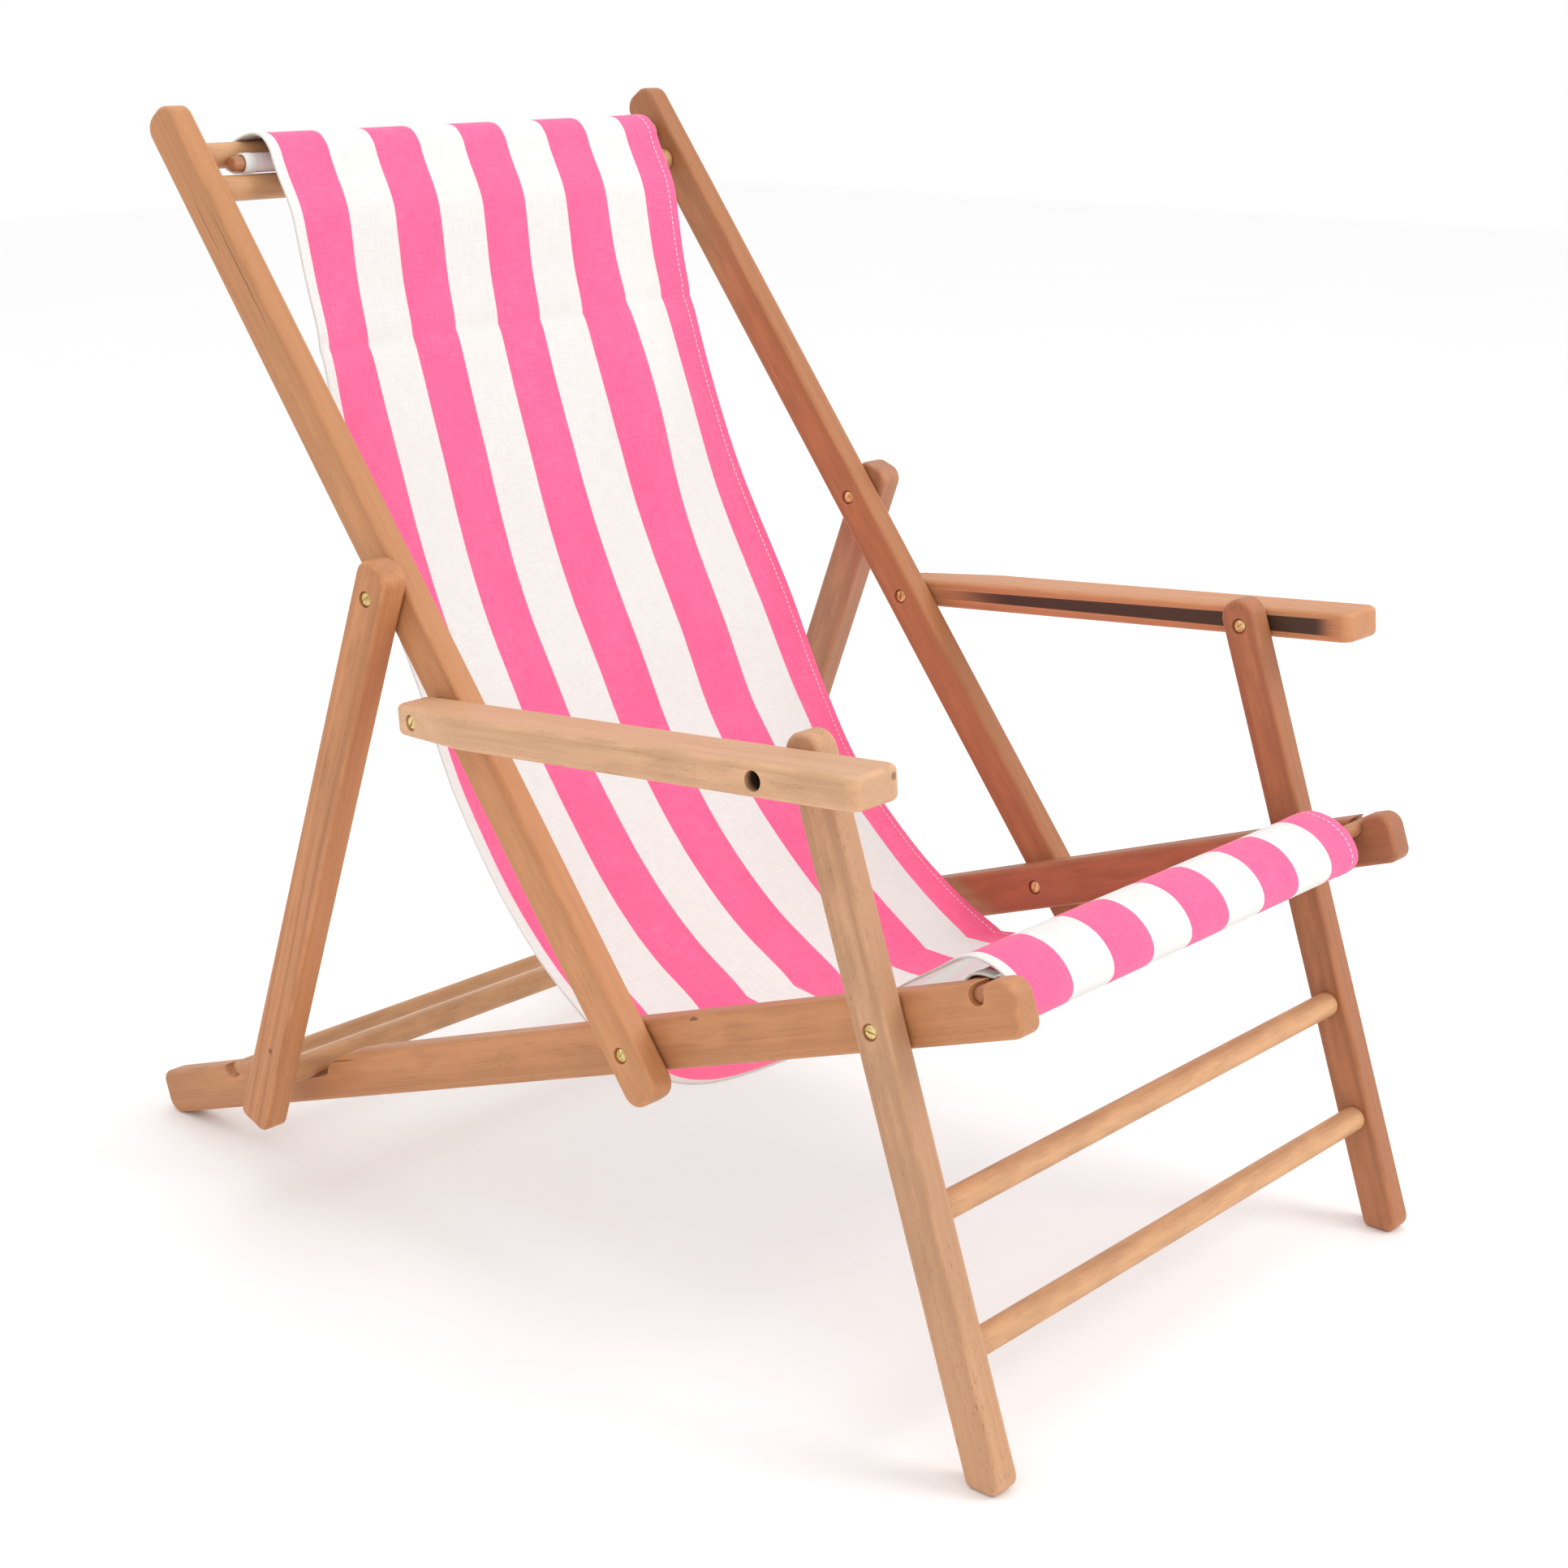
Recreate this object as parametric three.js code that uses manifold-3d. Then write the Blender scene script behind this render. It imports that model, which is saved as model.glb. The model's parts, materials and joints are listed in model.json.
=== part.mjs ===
// A folding wooden deck chair with armrests and a striped canvas sling.
// Millimetres, +Z up, the sitter faces -Y, and X = 0 is the chair's plane of symmetry.
// Each side is built in three layers of timber: the seat rail is innermost, the back post and the
// front leg lie outside it, and the brace leg and the armrest are outermost.
import * as THREE from 'three';
import { mergeVertices } from 'three/addons/utils/BufferGeometryUtils.js';
import Module from 'manifold-3d';

const wasm = await Module();
wasm.setup();

// ---------- Driving dimensions ----------
const RAIL_INNER_X = 228;
const TIMBER = 22;
const BRACE_TIMBER = 24;
const LAYER_GAP = 1.5;
const POST_INNER_X = RAIL_INNER_X + TIMBER + LAYER_GAP;
const OUTER_LAYER_X = POST_INNER_X + TIMBER + LAYER_GAP;
const EDGE_ROUNDING = 4;
const FIT_GAP = 0.3;

// Slopes in the side view, in degrees from +Y towards +Z.
const RAIL_SLOPE = -19.1;
const POST_SLOPE = 52.8;
const LEG_SLOPE = 71.3;
const BRACE_SLOPE = 110.7;

// Pivot spacings, each measured along the member that joins the two pivots.
const SEAT_PIVOT_Y = -127.9;
const SEAT_PIVOT_Z = 222.4;
const SEAT_TO_LEG_PIVOT = 247;
const SEAT_TO_ARM_PIVOT = 283.4;
const SEAT_TO_BRACE_PIVOT = 384.7;
const LEG_TO_ARM_PIVOT = 181.6;
const BRACE_PIVOT_TO_BAR = 460;

const RAIL = {
  width: 39, front: 355, cornerFrontTop: 12, cornerFrontBottom: 9, cornerRearTop: 9, cornerRearBottom: 14,
};
const POST = { width: 34, below: 40, above: 812, corner: 13 };
const LEG = { width: 30.5, above: 203, corner: 14.5, footCorner: 10, heelCorner: 5.5 };
const BRACE = { width: 33, above: 28, below: 504, corner: 12, footCorner: 7 };
const ARM = {
  thickness: 24, width: 48, behind: 21, ahead: 434, rearWidth: 33, taperLength: 80,
  corner: 11, rearCorner: 8, taperCorner: 12, rounding: 5,
};

const HEAD_DOWEL = { diameter: 20, tenon: 13, upper: 773, lower: 743, setBack: 4 };
const FRONT_BAR = { diameter: 24, tenon: 15, ahead: 304, above: 6.5 };
const RUNG = { diameter: 20, tenon: 13, upper: 129.5, lower: 225 };
const BRACE_BAR = { diameter: 21, tenon: 14 };
const REAR_STRETCHER = { diameter: 13, endInset: 5 };
const SLING_ROD = { diameter: 11.5, headHalfLength: 232, seatHalfLength: 246 };
const TENON_LENGTH = 15;

// Cuts in the top edge of each seat rail, along the rail from the seat pivot.
const CUT_ABOVE = 10;
const ROD_SLOT = {
  ahead: 324.4, above: 11.4, radius: 6.2, rearBend: 16, frontBend: 13, mouthShift: 17, bendRadius: 5,
};
const REAR_SEAT = { behind: 523.7, radius: 12 };
const BAR_NOTCH = {
  floor: 1, crown: 322, shoulder: 360, shoulderRadius: 38, shoulderDrop: 1.5, wallTop: 385, wallTopAbove: 10,
  wallFoot: 391, rampStart: 418, rampStartRadius: 20, rampEnd: 494, rampEndRadius: 8,
};
const MIDDLE_NOTCH = { behind: 466, radius: 11.5, above: 13 };

// A barrel nut closed at its head, and the screw that runs into its bore.
const BOLT = {
  head: 10.6, headThick: 1.8, barrel: 8, bore: 5.6, boreFloor: 3, shank: 5, shankStop: 6,
  slotWide: 1.4, slotDeep: 1, slotOffset: 25,
};
const COUNTERBORE = { diameter: 12.6, depth: 2.6 };
const ARM_COUNTERBORE = { diameter: 14, depth: 26 };
// From the armrest's inner face to the bearing face of the screw at its rear pivot.
const ARM_SCREW_SEAT = 33.5;
const WASHER = { diameter: 17, thickness: 0.9 };
const BOLT_HOLE = BOLT.barrel + 2 * FIT_GAP;

const SLING = { width: 428, thickness: 1.6, shift: 4 };
// Air between the canvas and the wood it passes round.
const FABRIC_GAP = 0.5;
// Between the two head dowels, and over the head rod, along the post from the seat pivot.
const SLING_AT_DOWELS = [758, -6];
const SLING_OVER_ROD = [[763, 14.6], [755, 16], [742, 14]];
// Where the sheet hangs free, as [y, z] from the seat pivot, from the head down to the seat.
const SLING_SAG = [[411, 576], [384, 478], [335, 338], [269, 217], [234, 131], [179, 49], [104, -13],
  [14, -43], [-94, 1], [-200, 82]];
// The loose roll round the front crossbar, along the rail from the seat pivot and above its centre line.
const SLING_ROLL = [[-275, 26], [-292, 31], [-308, 30.5], [-323, 25], [-333.6, 15], [-334.5, 4], [-328, -7],
  [-317, -15], [-303, -17.5], [-291, -11], [-288.5, 2], [-291, 13], [-300, 20.4], [-309, 21]];

// ---------- Side-view geometry: every point is [y, z] ----------
const radians = (degrees) => degrees * Math.PI / 180;
const along = (degrees) => [Math.cos(radians(degrees)), Math.sin(radians(degrees))];
const step = (point, degrees, distance, offset = 0) => {
  const [c, s] = along(degrees);
  return [point[0] + c * distance - s * offset, point[1] + s * distance + c * offset];
};

const seatPivot = [SEAT_PIVOT_Y, SEAT_PIVOT_Z];
const bracePivot = step(seatPivot, POST_SLOPE, SEAT_TO_BRACE_PIVOT);
const armPivot = step(seatPivot, POST_SLOPE, SEAT_TO_ARM_PIVOT);
const legPivot = step(seatPivot, RAIL_SLOPE, -SEAT_TO_LEG_PIVOT);
const armLegPivot = step(legPivot, LEG_SLOPE, LEG_TO_ARM_PIVOT);
const braceBar = step(bracePivot, BRACE_SLOPE, -BRACE_PIVOT_TO_BAR);
const armSlope = Math.atan2(armPivot[1] - armLegPivot[1], armPivot[0] - armLegPivot[0]) * 180 / Math.PI;

// The rail ends where its lower rear corner, a round one, just touches the ground.
const railRear = (SEAT_PIVOT_Z - (RAIL.width / 2 - RAIL.cornerRearBottom) * along(RAIL_SLOPE)[0]
  - RAIL.cornerRearBottom) / -along(RAIL_SLOPE)[1] + RAIL.cornerRearBottom;
// The leg's centre line meets the ground this far below its pivot.
const legBelow = legPivot[1] / along(LEG_SLOPE)[1];

// ---------- Building tools ----------
// A closed outline through corners [x, y, radius], with every corner turned into an arc.
function roundedShape(corners) {
  const shape = new THREE.Shape();
  corners.forEach(([x, y, radius], i) => {
    const before = corners[(i + corners.length - 1) % corners.length];
    const after = corners[(i + 1) % corners.length];
    const into = new THREE.Vector2(x - before[0], y - before[1]).normalize();
    const out = new THREE.Vector2(after[0] - x, after[1] - y).normalize();
    const turn = into.cross(out);
    const cut = radius * Math.tan(Math.acos(into.dot(out)) / 2);
    const start = new THREE.Vector2(x, y).addScaledVector(into, -cut);
    const side = Math.sign(turn);
    const centre = start.clone().add(new THREE.Vector2(-into.y, into.x).multiplyScalar(side * radius));
    const from = Math.atan2(start.y - centre.y, start.x - centre.x);
    const to = from + side * Math.acos(into.dot(out));
    if (i === 0) shape.moveTo(start.x, start.y);
    else shape.lineTo(start.x, start.y);
    if (radius > 0) shape.absarc(centre.x, centre.y, radius, from, to, side < 0);
  });
  shape.closePath();
  return shape;
}

function extrude(shape, depth, rounding, curveSegments = 3) {
  return new THREE.ExtrudeGeometry(shape, {
    depth: depth - 2 * rounding,
    bevelEnabled: rounding > 0,
    bevelThickness: rounding,
    bevelSize: rounding,
    bevelOffset: -rounding,
    bevelSegments: 2,
    curveSegments,
    steps: 1,
  }).translate(0, 0, rounding);
}

// Turns a side-view extrusion so that its outline lies in Y and Z and its depth runs along +X.
const SIDE_VIEW = new THREE.Matrix4().makeBasis(
  new THREE.Vector3(0, 1, 0), new THREE.Vector3(0, 0, 1), new THREE.Vector3(1, 0, 0));

function sideMember(shape, x, depth, origin, slope, rounding = EDGE_ROUNDING, curveSegments = 3) {
  const geometry = extrude(shape, depth, rounding, curveSegments);
  geometry.applyMatrix4(new THREE.Matrix4().makeRotationZ(radians(slope)));
  geometry.translate(origin[0], origin[1], x);
  return geometry.applyMatrix4(SIDE_VIEW);
}

// A turned piece whose axis runs along +X; profile points are [x, radius].
function turned(profile, point, segments = 16) {
  const geometry = new THREE.LatheGeometry(profile.map(([x, r]) => new THREE.Vector2(r, x)), segments);
  geometry.applyMatrix4(new THREE.Matrix4().makeBasis(
    new THREE.Vector3(0, 1, 0), new THREE.Vector3(1, 0, 0), new THREE.Vector3(0, 0, -1)));
  return geometry.translate(0, point[0], point[1]);
}

const rod = (x0, x1, diameter, point, segments = 16) =>
  turned([[x0, 0], [x0, diameter / 2], [x1, diameter / 2], [x1, 0]], point, segments);

function toSolid(geometry) {
  const bare = geometry.clone();
  bare.deleteAttribute('normal');
  bare.deleteAttribute('uv');
  const merged = mergeVertices(bare, 1e-4);
  return new wasm.Manifold(new wasm.Mesh({
    numProp: 3,
    vertProperties: new Float32Array(merged.attributes.position.array),
    triVerts: new Uint32Array(merged.index.array),
  }));
}

function cut(geometry, ...tools) {
  const solid = tools.reduce((rest, tool) => rest.subtract(toSolid(tool)), toSolid(geometry));
  const mesh = solid.getMesh();
  const result = new THREE.BufferGeometry();
  result.setAttribute('position', new THREE.BufferAttribute(mesh.vertProperties, 3));
  result.setIndex(new THREE.BufferAttribute(mesh.triVerts, 1));
  result.computeVertexNormals();
  return result;
}

const mirrored = (geometry) => {
  const other = geometry.clone();
  other.scale(-1, 1, 1);
  const index = other.index ? [...other.index.array] : [...Array(other.attributes.position.count).keys()];
  for (let i = 0; i < index.length; i += 3) [index[i], index[i + 1]] = [index[i + 1], index[i]];
  other.setIndex(index);
  return other;
};

const chair = new THREE.Group();
chair.name = 'folding_deck_chair';

const WOOD = { color: 0xc08a5c, roughness: 0.62, metalness: 0 };
const BRASS = { color: 0xc9a75a, roughness: 0.32, metalness: 1 };
const CANVAS = { color: 0xff6f9f, roughness: 0.9, metalness: 0 };

function add(name, geometry, look) {
  const mesh = new THREE.Mesh(geometry, new THREE.MeshStandardMaterial(look));
  mesh.name = name;
  chair.add(mesh);
}

// The sitter's left is +X.
function addPair(name, geometry, look) {
  add(`${name}_left`, geometry, look);
  add(`${name}_right`, mirrored(geometry), look);
}

// Bolt hole with a counterbore at one end or both, as cutting tools along X.
function boltHole(point, x0, x1, innerDepth, outerDepth, outerDiameter = COUNTERBORE.diameter) {
  const tools = [rod(x0 - 1, x1 + 1, BOLT_HOLE, point, 12)];
  if (innerDepth > 0) tools.push(rod(x0 - 1, x0 + innerDepth, COUNTERBORE.diameter, point));
  if (outerDepth > 0) tools.push(rod(x1 - outerDepth, x1 + 1, outerDiameter, point));
  return tools;
}

const mortise = (point, innerX, diameter) =>
  rod(innerX - 1, innerX + TENON_LENGTH + FIT_GAP, diameter + 2 * FIT_GAP, point);

// A cross member with a shoulder against the timber at each end and a tenon inside it.
function crossMember(innerX, diameter, tenon, point) {
  const shoulder = innerX - FIT_GAP;
  const end = innerX + TENON_LENGTH;
  const profile = [[-end, 0], [-end, tenon / 2], [-shoulder, tenon / 2], [-shoulder, diameter / 2],
    [shoulder, diameter / 2], [shoulder, tenon / 2], [end, tenon / 2], [end, 0]];
  return turned(profile, point, 20);
}

// ---------- Points on the members ----------
const onRail = (distance, offset) => step(seatPivot, RAIL_SLOPE, distance, offset);
const onPost = (distance, offset = 0) => step(seatPivot, POST_SLOPE, distance, offset);
const frontBar = onRail(-FRONT_BAR.ahead, FRONT_BAR.above);
const rearStretcher = onRail(REAR_SEAT.behind,
  RAIL.width / 2 - REAR_SEAT.radius + REAR_STRETCHER.diameter / 2 + FIT_GAP);
const seatRod = onRail(-ROD_SLOT.ahead, ROD_SLOT.above);
const upperDowel = onPost(HEAD_DOWEL.upper, -HEAD_DOWEL.setBack);
const lowerDowel = onPost(HEAD_DOWEL.lower, -HEAD_DOWEL.setBack);
const dowelSpacing = HEAD_DOWEL.upper - HEAD_DOWEL.lower;
const rodFromDowel = HEAD_DOWEL.diameter / 2 + SLING_ROD.diameter / 2 + SLING.thickness + 2 * FABRIC_GAP;
const headRod = onPost((HEAD_DOWEL.upper + HEAD_DOWEL.lower) / 2,
  -HEAD_DOWEL.setBack + Math.sqrt(rodFromDowel ** 2 - (dowelSpacing / 2) ** 2));
const upperRung = step(legPivot, LEG_SLOPE, -RUNG.upper);
const lowerRung = step(legPivot, LEG_SLOPE, -RUNG.lower);

// ---------- Seat frame ----------
function railCuts() {
  const top = RAIL.width / 2;
  const above = top + CUT_ABOVE;
  const atRail = (shape) => sideMember(shape, RAIL_INNER_X - 1, TIMBER + 2, seatPivot, RAIL_SLOPE, 0, 8);
  // Slot for the sling rod: straight at the bottom, its mouth leaning to the front.
  const slotRear = -ROD_SLOT.ahead + ROD_SLOT.radius;
  const slotFront = -ROD_SLOT.ahead - ROD_SLOT.radius;
  const slotFloor = ROD_SLOT.above - ROD_SLOT.radius;
  const slot = roundedShape([
    [slotFront, slotFloor, ROD_SLOT.radius - 0.1], [slotRear, slotFloor, ROD_SLOT.radius - 0.1],
    [slotRear, ROD_SLOT.rearBend, ROD_SLOT.bendRadius], [slotRear - ROD_SLOT.mouthShift, above, 0],
    [slotFront - ROD_SLOT.mouthShift, above, 0], [slotFront - 2, top - 1, ROD_SLOT.bendRadius],
    [slotFront, ROD_SLOT.frontBend, 2]]);
  // Notch that holds the brace bar: a curved shoulder in front, and a ramp rising behind.
  const notch = roundedShape([
    [BAR_NOTCH.wallFoot, BAR_NOTCH.floor, 6],
    [BAR_NOTCH.rampStart, BAR_NOTCH.floor, BAR_NOTCH.rampStartRadius],
    [BAR_NOTCH.rampEnd, top, BAR_NOTCH.rampEndRadius],
    [BAR_NOTCH.rampEnd + CUT_ABOVE, above, 0],
    [BAR_NOTCH.crown - CUT_ABOVE, above, 0],
    [BAR_NOTCH.crown, top, 2],
    [BAR_NOTCH.shoulder, top - BAR_NOTCH.shoulderDrop, BAR_NOTCH.shoulderRadius],
    [BAR_NOTCH.wallTop, BAR_NOTCH.wallTopAbove, 4]]);
  const middle = new THREE.Shape();
  middle.absarc(MIDDLE_NOTCH.behind, MIDDLE_NOTCH.above, MIDDLE_NOTCH.radius, 0, Math.PI * 2, false);
  const seat = new THREE.Shape();
  seat.absarc(REAR_SEAT.behind, top, REAR_SEAT.radius, 0, Math.PI * 2, false);
  return [slot, notch, middle, seat].map(atRail);
}

function seatRail() {
  const half = RAIL.width / 2;
  const outline = roundedShape([
    [-RAIL.front, -half, RAIL.cornerFrontBottom], [railRear, -half, RAIL.cornerRearBottom],
    [railRear, half, RAIL.cornerRearTop], [-RAIL.front, half, RAIL.cornerFrontTop]]);
  const outerX = RAIL_INNER_X + TIMBER;
  return cut(sideMember(outline, RAIL_INNER_X, TIMBER, seatPivot, RAIL_SLOPE),
    ...railCuts(),
    mortise(frontBar, RAIL_INNER_X, FRONT_BAR.tenon),
    ...boltHole(seatPivot, RAIL_INNER_X, outerX, COUNTERBORE.depth, 0),
    ...boltHole(legPivot, RAIL_INNER_X, outerX, COUNTERBORE.depth, 0));
}

const stretcherEnd = RAIL_INNER_X + TIMBER - REAR_STRETCHER.endInset;
addPair('seat_rail', seatRail(), WOOD);
add('seat_front_crossbar', crossMember(RAIL_INNER_X, FRONT_BAR.diameter, FRONT_BAR.tenon, frontBar), WOOD);
add('seat_rear_stretcher', rod(-stretcherEnd, stretcherEnd, REAR_STRETCHER.diameter, rearStretcher), WOOD);
const slingRod = (half, point) => rod(-half, half, SLING_ROD.diameter, point);
add('sling_rod_seat', slingRod(SLING_ROD.seatHalfLength, seatRod), WOOD);

// ---------- Back frame ----------
function backPost() {
  const half = POST.width / 2;
  const outline = roundedShape([
    [-POST.below, -half, POST.corner], [POST.above, -half, POST.corner],
    [POST.above, half, POST.corner], [-POST.below, half, POST.corner]]);
  const outerX = POST_INNER_X + TIMBER;
  return cut(sideMember(outline, POST_INNER_X, TIMBER, seatPivot, POST_SLOPE),
    mortise(upperDowel, POST_INNER_X, HEAD_DOWEL.tenon),
    mortise(lowerDowel, POST_INNER_X, HEAD_DOWEL.tenon),
    ...boltHole(seatPivot, POST_INNER_X, outerX, 0, COUNTERBORE.depth),
    ...boltHole(armPivot, POST_INNER_X, outerX, COUNTERBORE.depth, 0),
    ...boltHole(bracePivot, POST_INNER_X, outerX, COUNTERBORE.depth, 0));
}

const headDowel = (point) => crossMember(POST_INNER_X, HEAD_DOWEL.diameter, HEAD_DOWEL.tenon, point);
addPair('back_post', backPost(), WOOD);
add('head_dowel_upper', headDowel(upperDowel), WOOD);
add('head_dowel_lower', headDowel(lowerDowel), WOOD);
add('sling_rod_head', slingRod(SLING_ROD.headHalfLength, headRod), WOOD);

// ---------- Brace ----------
function braceLeg() {
  const half = BRACE.width / 2;
  const outline = roundedShape([
    [-BRACE.below, -half, BRACE.footCorner], [BRACE.above, -half, BRACE.corner],
    [BRACE.above, half, BRACE.corner], [-BRACE.below, half, BRACE.footCorner]]);
  const outerX = OUTER_LAYER_X + BRACE_TIMBER;
  return cut(sideMember(outline, OUTER_LAYER_X, BRACE_TIMBER, bracePivot, BRACE_SLOPE),
    mortise(braceBar, OUTER_LAYER_X, BRACE_BAR.tenon),
    ...boltHole(bracePivot, OUTER_LAYER_X, outerX, 0, COUNTERBORE.depth));
}

addPair('brace_leg', braceLeg(), WOOD);
add('brace_bar', crossMember(OUTER_LAYER_X, BRACE_BAR.diameter, BRACE_BAR.tenon, braceBar), WOOD);

// ---------- Front legs ----------
// The foot is cut level with the ground, so its sole is a flat face.
function frontLeg() {
  const half = LEG.width / 2;
  const lean = half / Math.tan(radians(LEG_SLOPE));
  const outline = roundedShape([
    [-legBelow + lean, -half, LEG.heelCorner], [LEG.above, -half, LEG.corner],
    [LEG.above, half, LEG.corner], [-legBelow - lean, half, LEG.footCorner]]);
  const outerX = POST_INNER_X + TIMBER;
  return cut(sideMember(outline, POST_INNER_X, TIMBER, legPivot, LEG_SLOPE),
    mortise(upperRung, POST_INNER_X, RUNG.tenon),
    mortise(lowerRung, POST_INNER_X, RUNG.tenon),
    ...boltHole(legPivot, POST_INNER_X, outerX, 0, COUNTERBORE.depth),
    ...boltHole(armLegPivot, POST_INNER_X, outerX, COUNTERBORE.depth, 0));
}

const frontRung = (point) => crossMember(POST_INNER_X, RUNG.diameter, RUNG.tenon, point);
addPair('front_leg', frontLeg(), WOOD);
add('front_rung_upper', frontRung(upperRung), WOOD);
add('front_rung_lower', frontRung(lowerRung), WOOD);

// ---------- Armrests ----------
// Drawn in plan, X against the distance from the arm pivot, and narrowed on the outside at the rear.
function armrest() {
  const plan = roundedShape([
    [-ARM.ahead, 0, ARM.corner], [ARM.behind, 0, ARM.rearCorner], [ARM.behind, ARM.rearWidth, ARM.rearCorner],
    [ARM.behind - ARM.taperLength, ARM.width, ARM.taperCorner], [-ARM.ahead, ARM.width, ARM.corner]]);
  const geometry = extrude(plan, ARM.thickness, ARM.rounding);
  geometry.translate(0, 0, -ARM.thickness / 2);
  geometry.applyMatrix4(new THREE.Matrix4().makeBasis(
    new THREE.Vector3(0, 1, 0), new THREE.Vector3(1, 0, 0), new THREE.Vector3(0, 0, -1)));
  geometry.applyMatrix4(new THREE.Matrix4().makeRotationX(radians(armSlope)));
  geometry.translate(OUTER_LAYER_X, armPivot[0], armPivot[1]);
  const outerX = OUTER_LAYER_X + ARM.width;
  return cut(geometry,
    ...boltHole(armPivot, OUTER_LAYER_X, outerX, 0, ARM.width - ARM_SCREW_SEAT),
    ...boltHole(armLegPivot, OUTER_LAYER_X, outerX, 0, ARM_COUNTERBORE.depth, ARM_COUNTERBORE.diameter));
}

addPair('armrest', armrest(), WOOD);

// ---------- Pivot hardware ----------
// The driver slot across the face of a head that lies at x.
function slotTool(x, point, turn) {
  const box = new THREE.BoxGeometry(BOLT.slotDeep * 2, BOLT.slotWide, BOLT.head + 2);
  box.applyMatrix4(new THREE.Matrix4().makeRotationX(radians(turn)));
  return box.translate(x, point[0], point[1]);
}

// innerSeat and outerSeat are the floors of the two counterbores, where the heads bear.
function pivotHardware(name, point, innerSeat, outerSeat, joinX, turn, split = false) {
  const headR = BOLT.head / 2;
  const barrelR = BOLT.barrel / 2;
  const innerFace = innerSeat - FIT_GAP - BOLT.headThick;
  const outerFace = outerSeat + FIT_GAP + BOLT.headThick;
  const barrelEnd = split ? joinX - LAYER_GAP / 2 - FIT_GAP : outerSeat - FIT_GAP;
  const shankEnd = split ? joinX + LAYER_GAP / 2 + FIT_GAP : innerSeat + BOLT.shankStop;
  const sleeve = turned([[innerFace, 0], [innerFace, headR], [innerSeat - FIT_GAP, headR],
    [innerSeat - FIT_GAP, barrelR], [barrelEnd, barrelR], [barrelEnd, BOLT.bore / 2],
    [innerSeat + BOLT.boreFloor, BOLT.bore / 2], [innerSeat + BOLT.boreFloor, 0]], point);
  const screw = turned([[shankEnd, 0], [shankEnd, BOLT.shank / 2], [outerSeat + FIT_GAP, BOLT.shank / 2],
    [outerSeat + FIT_GAP, headR], [outerFace, headR], [outerFace, 0]], point);
  const ringIn = joinX - WASHER.thickness / 2;
  const ringOut = joinX + WASHER.thickness / 2;
  const ring = turned([[ringIn, BOLT_HOLE / 2], [ringIn, WASHER.diameter / 2], [ringOut, WASHER.diameter / 2],
    [ringOut, BOLT_HOLE / 2], [ringIn, BOLT_HOLE / 2]], point);
  addPair(`${name}_sleeve_nut`, cut(sleeve, slotTool(innerFace, point, turn)), BRASS);
  addPair(`${name}_screw`, cut(screw, slotTool(outerFace, point, turn + BOLT.slotOffset)), BRASS);
  addPair(`${name}_washer`, ring, BRASS);
}

const railSeat = RAIL_INNER_X + COUNTERBORE.depth;
const postSeat = POST_INNER_X + COUNTERBORE.depth;
const postOuterSeat = POST_INNER_X + TIMBER - COUNTERBORE.depth;
const railJoin = RAIL_INNER_X + TIMBER + LAYER_GAP / 2;
const postJoin = POST_INNER_X + TIMBER + LAYER_GAP / 2;
const braceSeat = OUTER_LAYER_X + BRACE_TIMBER - COUNTERBORE.depth;
const armLegSeat = OUTER_LAYER_X + ARM.width - ARM_COUNTERBORE.depth;
pivotHardware('back_pivot', seatPivot, railSeat, postOuterSeat, railJoin, 10);
pivotHardware('front_leg_pivot', legPivot, railSeat, postOuterSeat, railJoin, 70);
pivotHardware('brace_pivot', bracePivot, postSeat, braceSeat, postJoin, 35);
pivotHardware('armrest_rear_pivot', armPivot, postSeat, OUTER_LAYER_X + ARM_SCREW_SEAT, postJoin, 5);
pivotHardware('armrest_front_pivot', armLegPivot, postSeat, armLegSeat, postJoin, 50, true);

// ---------- Sling ----------
// The canvas is one sheet of even thickness. Its upper end is a hem round the head rod, held in front
// of the two head dowels. The sheet passes back between the dowels, over the upper one, hangs down to
// the seat, wraps loosely round the front crossbar and ends in a hem round the seat rod.
function slingPath() {
  const hem = SLING_ROD.diameter / 2 + FABRIC_GAP + SLING.thickness / 2;
  const overDowel = HEAD_DOWEL.diameter / 2 + FABRIC_GAP + SLING.thickness / 2;
  const arc = (centre, slope, radius, from, to, steps) =>
    Array.from({ length: steps + 1 }, (_, i) => step(centre, slope + from + (to - from) * i / steps, radius));
  const sag = SLING_SAG.map(([y, z]) => [seatPivot[0] + y, seatPivot[1] + z]);
  const roll = SLING_ROLL.map(([d, o]) => onRail(d, o));
  return [
    ...arc(headRod, POST_SLOPE, hem, -60, 240, 10),
    onPost(...SLING_AT_DOWELS),
    ...arc(upperDowel, POST_SLOPE, overDowel, 215, 430, 9),
    ...SLING_OVER_ROD.map(([d, o]) => onPost(d, o)),
    ...sag,
    ...roll,
    ...arc(seatRod, RAIL_SLOPE, hem, 60, 330, 9),
  ];
}

function sling() {
  const path = slingPath().map(([y, z]) => new THREE.Vector3(y, z, 0));
  const curve = new THREE.CatmullRomCurve3(path, false, 'centripetal');
  const steps = Math.round(path.length * 1.5);
  const sides = [[], []];
  for (let i = 0; i <= steps; i += 1) {
    const point = curve.getPoint(i / steps);
    const tangent = curve.getTangent(i / steps);
    [1, -1].forEach((side, k) => sides[k].push(new THREE.Vector2(
      point.x - side * tangent.y * SLING.thickness / 2, point.y + side * tangent.x * SLING.thickness / 2)));
  }
  const outline = new THREE.Shape([...sides[0], ...sides[1].reverse()]);
  const geometry = new THREE.ExtrudeGeometry(outline, { depth: SLING.width, bevelEnabled: false, steps: 1 });
  return geometry.translate(0, 0, SLING.shift - SLING.width / 2).applyMatrix4(SIDE_VIEW);
}

add('sling', sling(), CANVAS);

export default chair;
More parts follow.
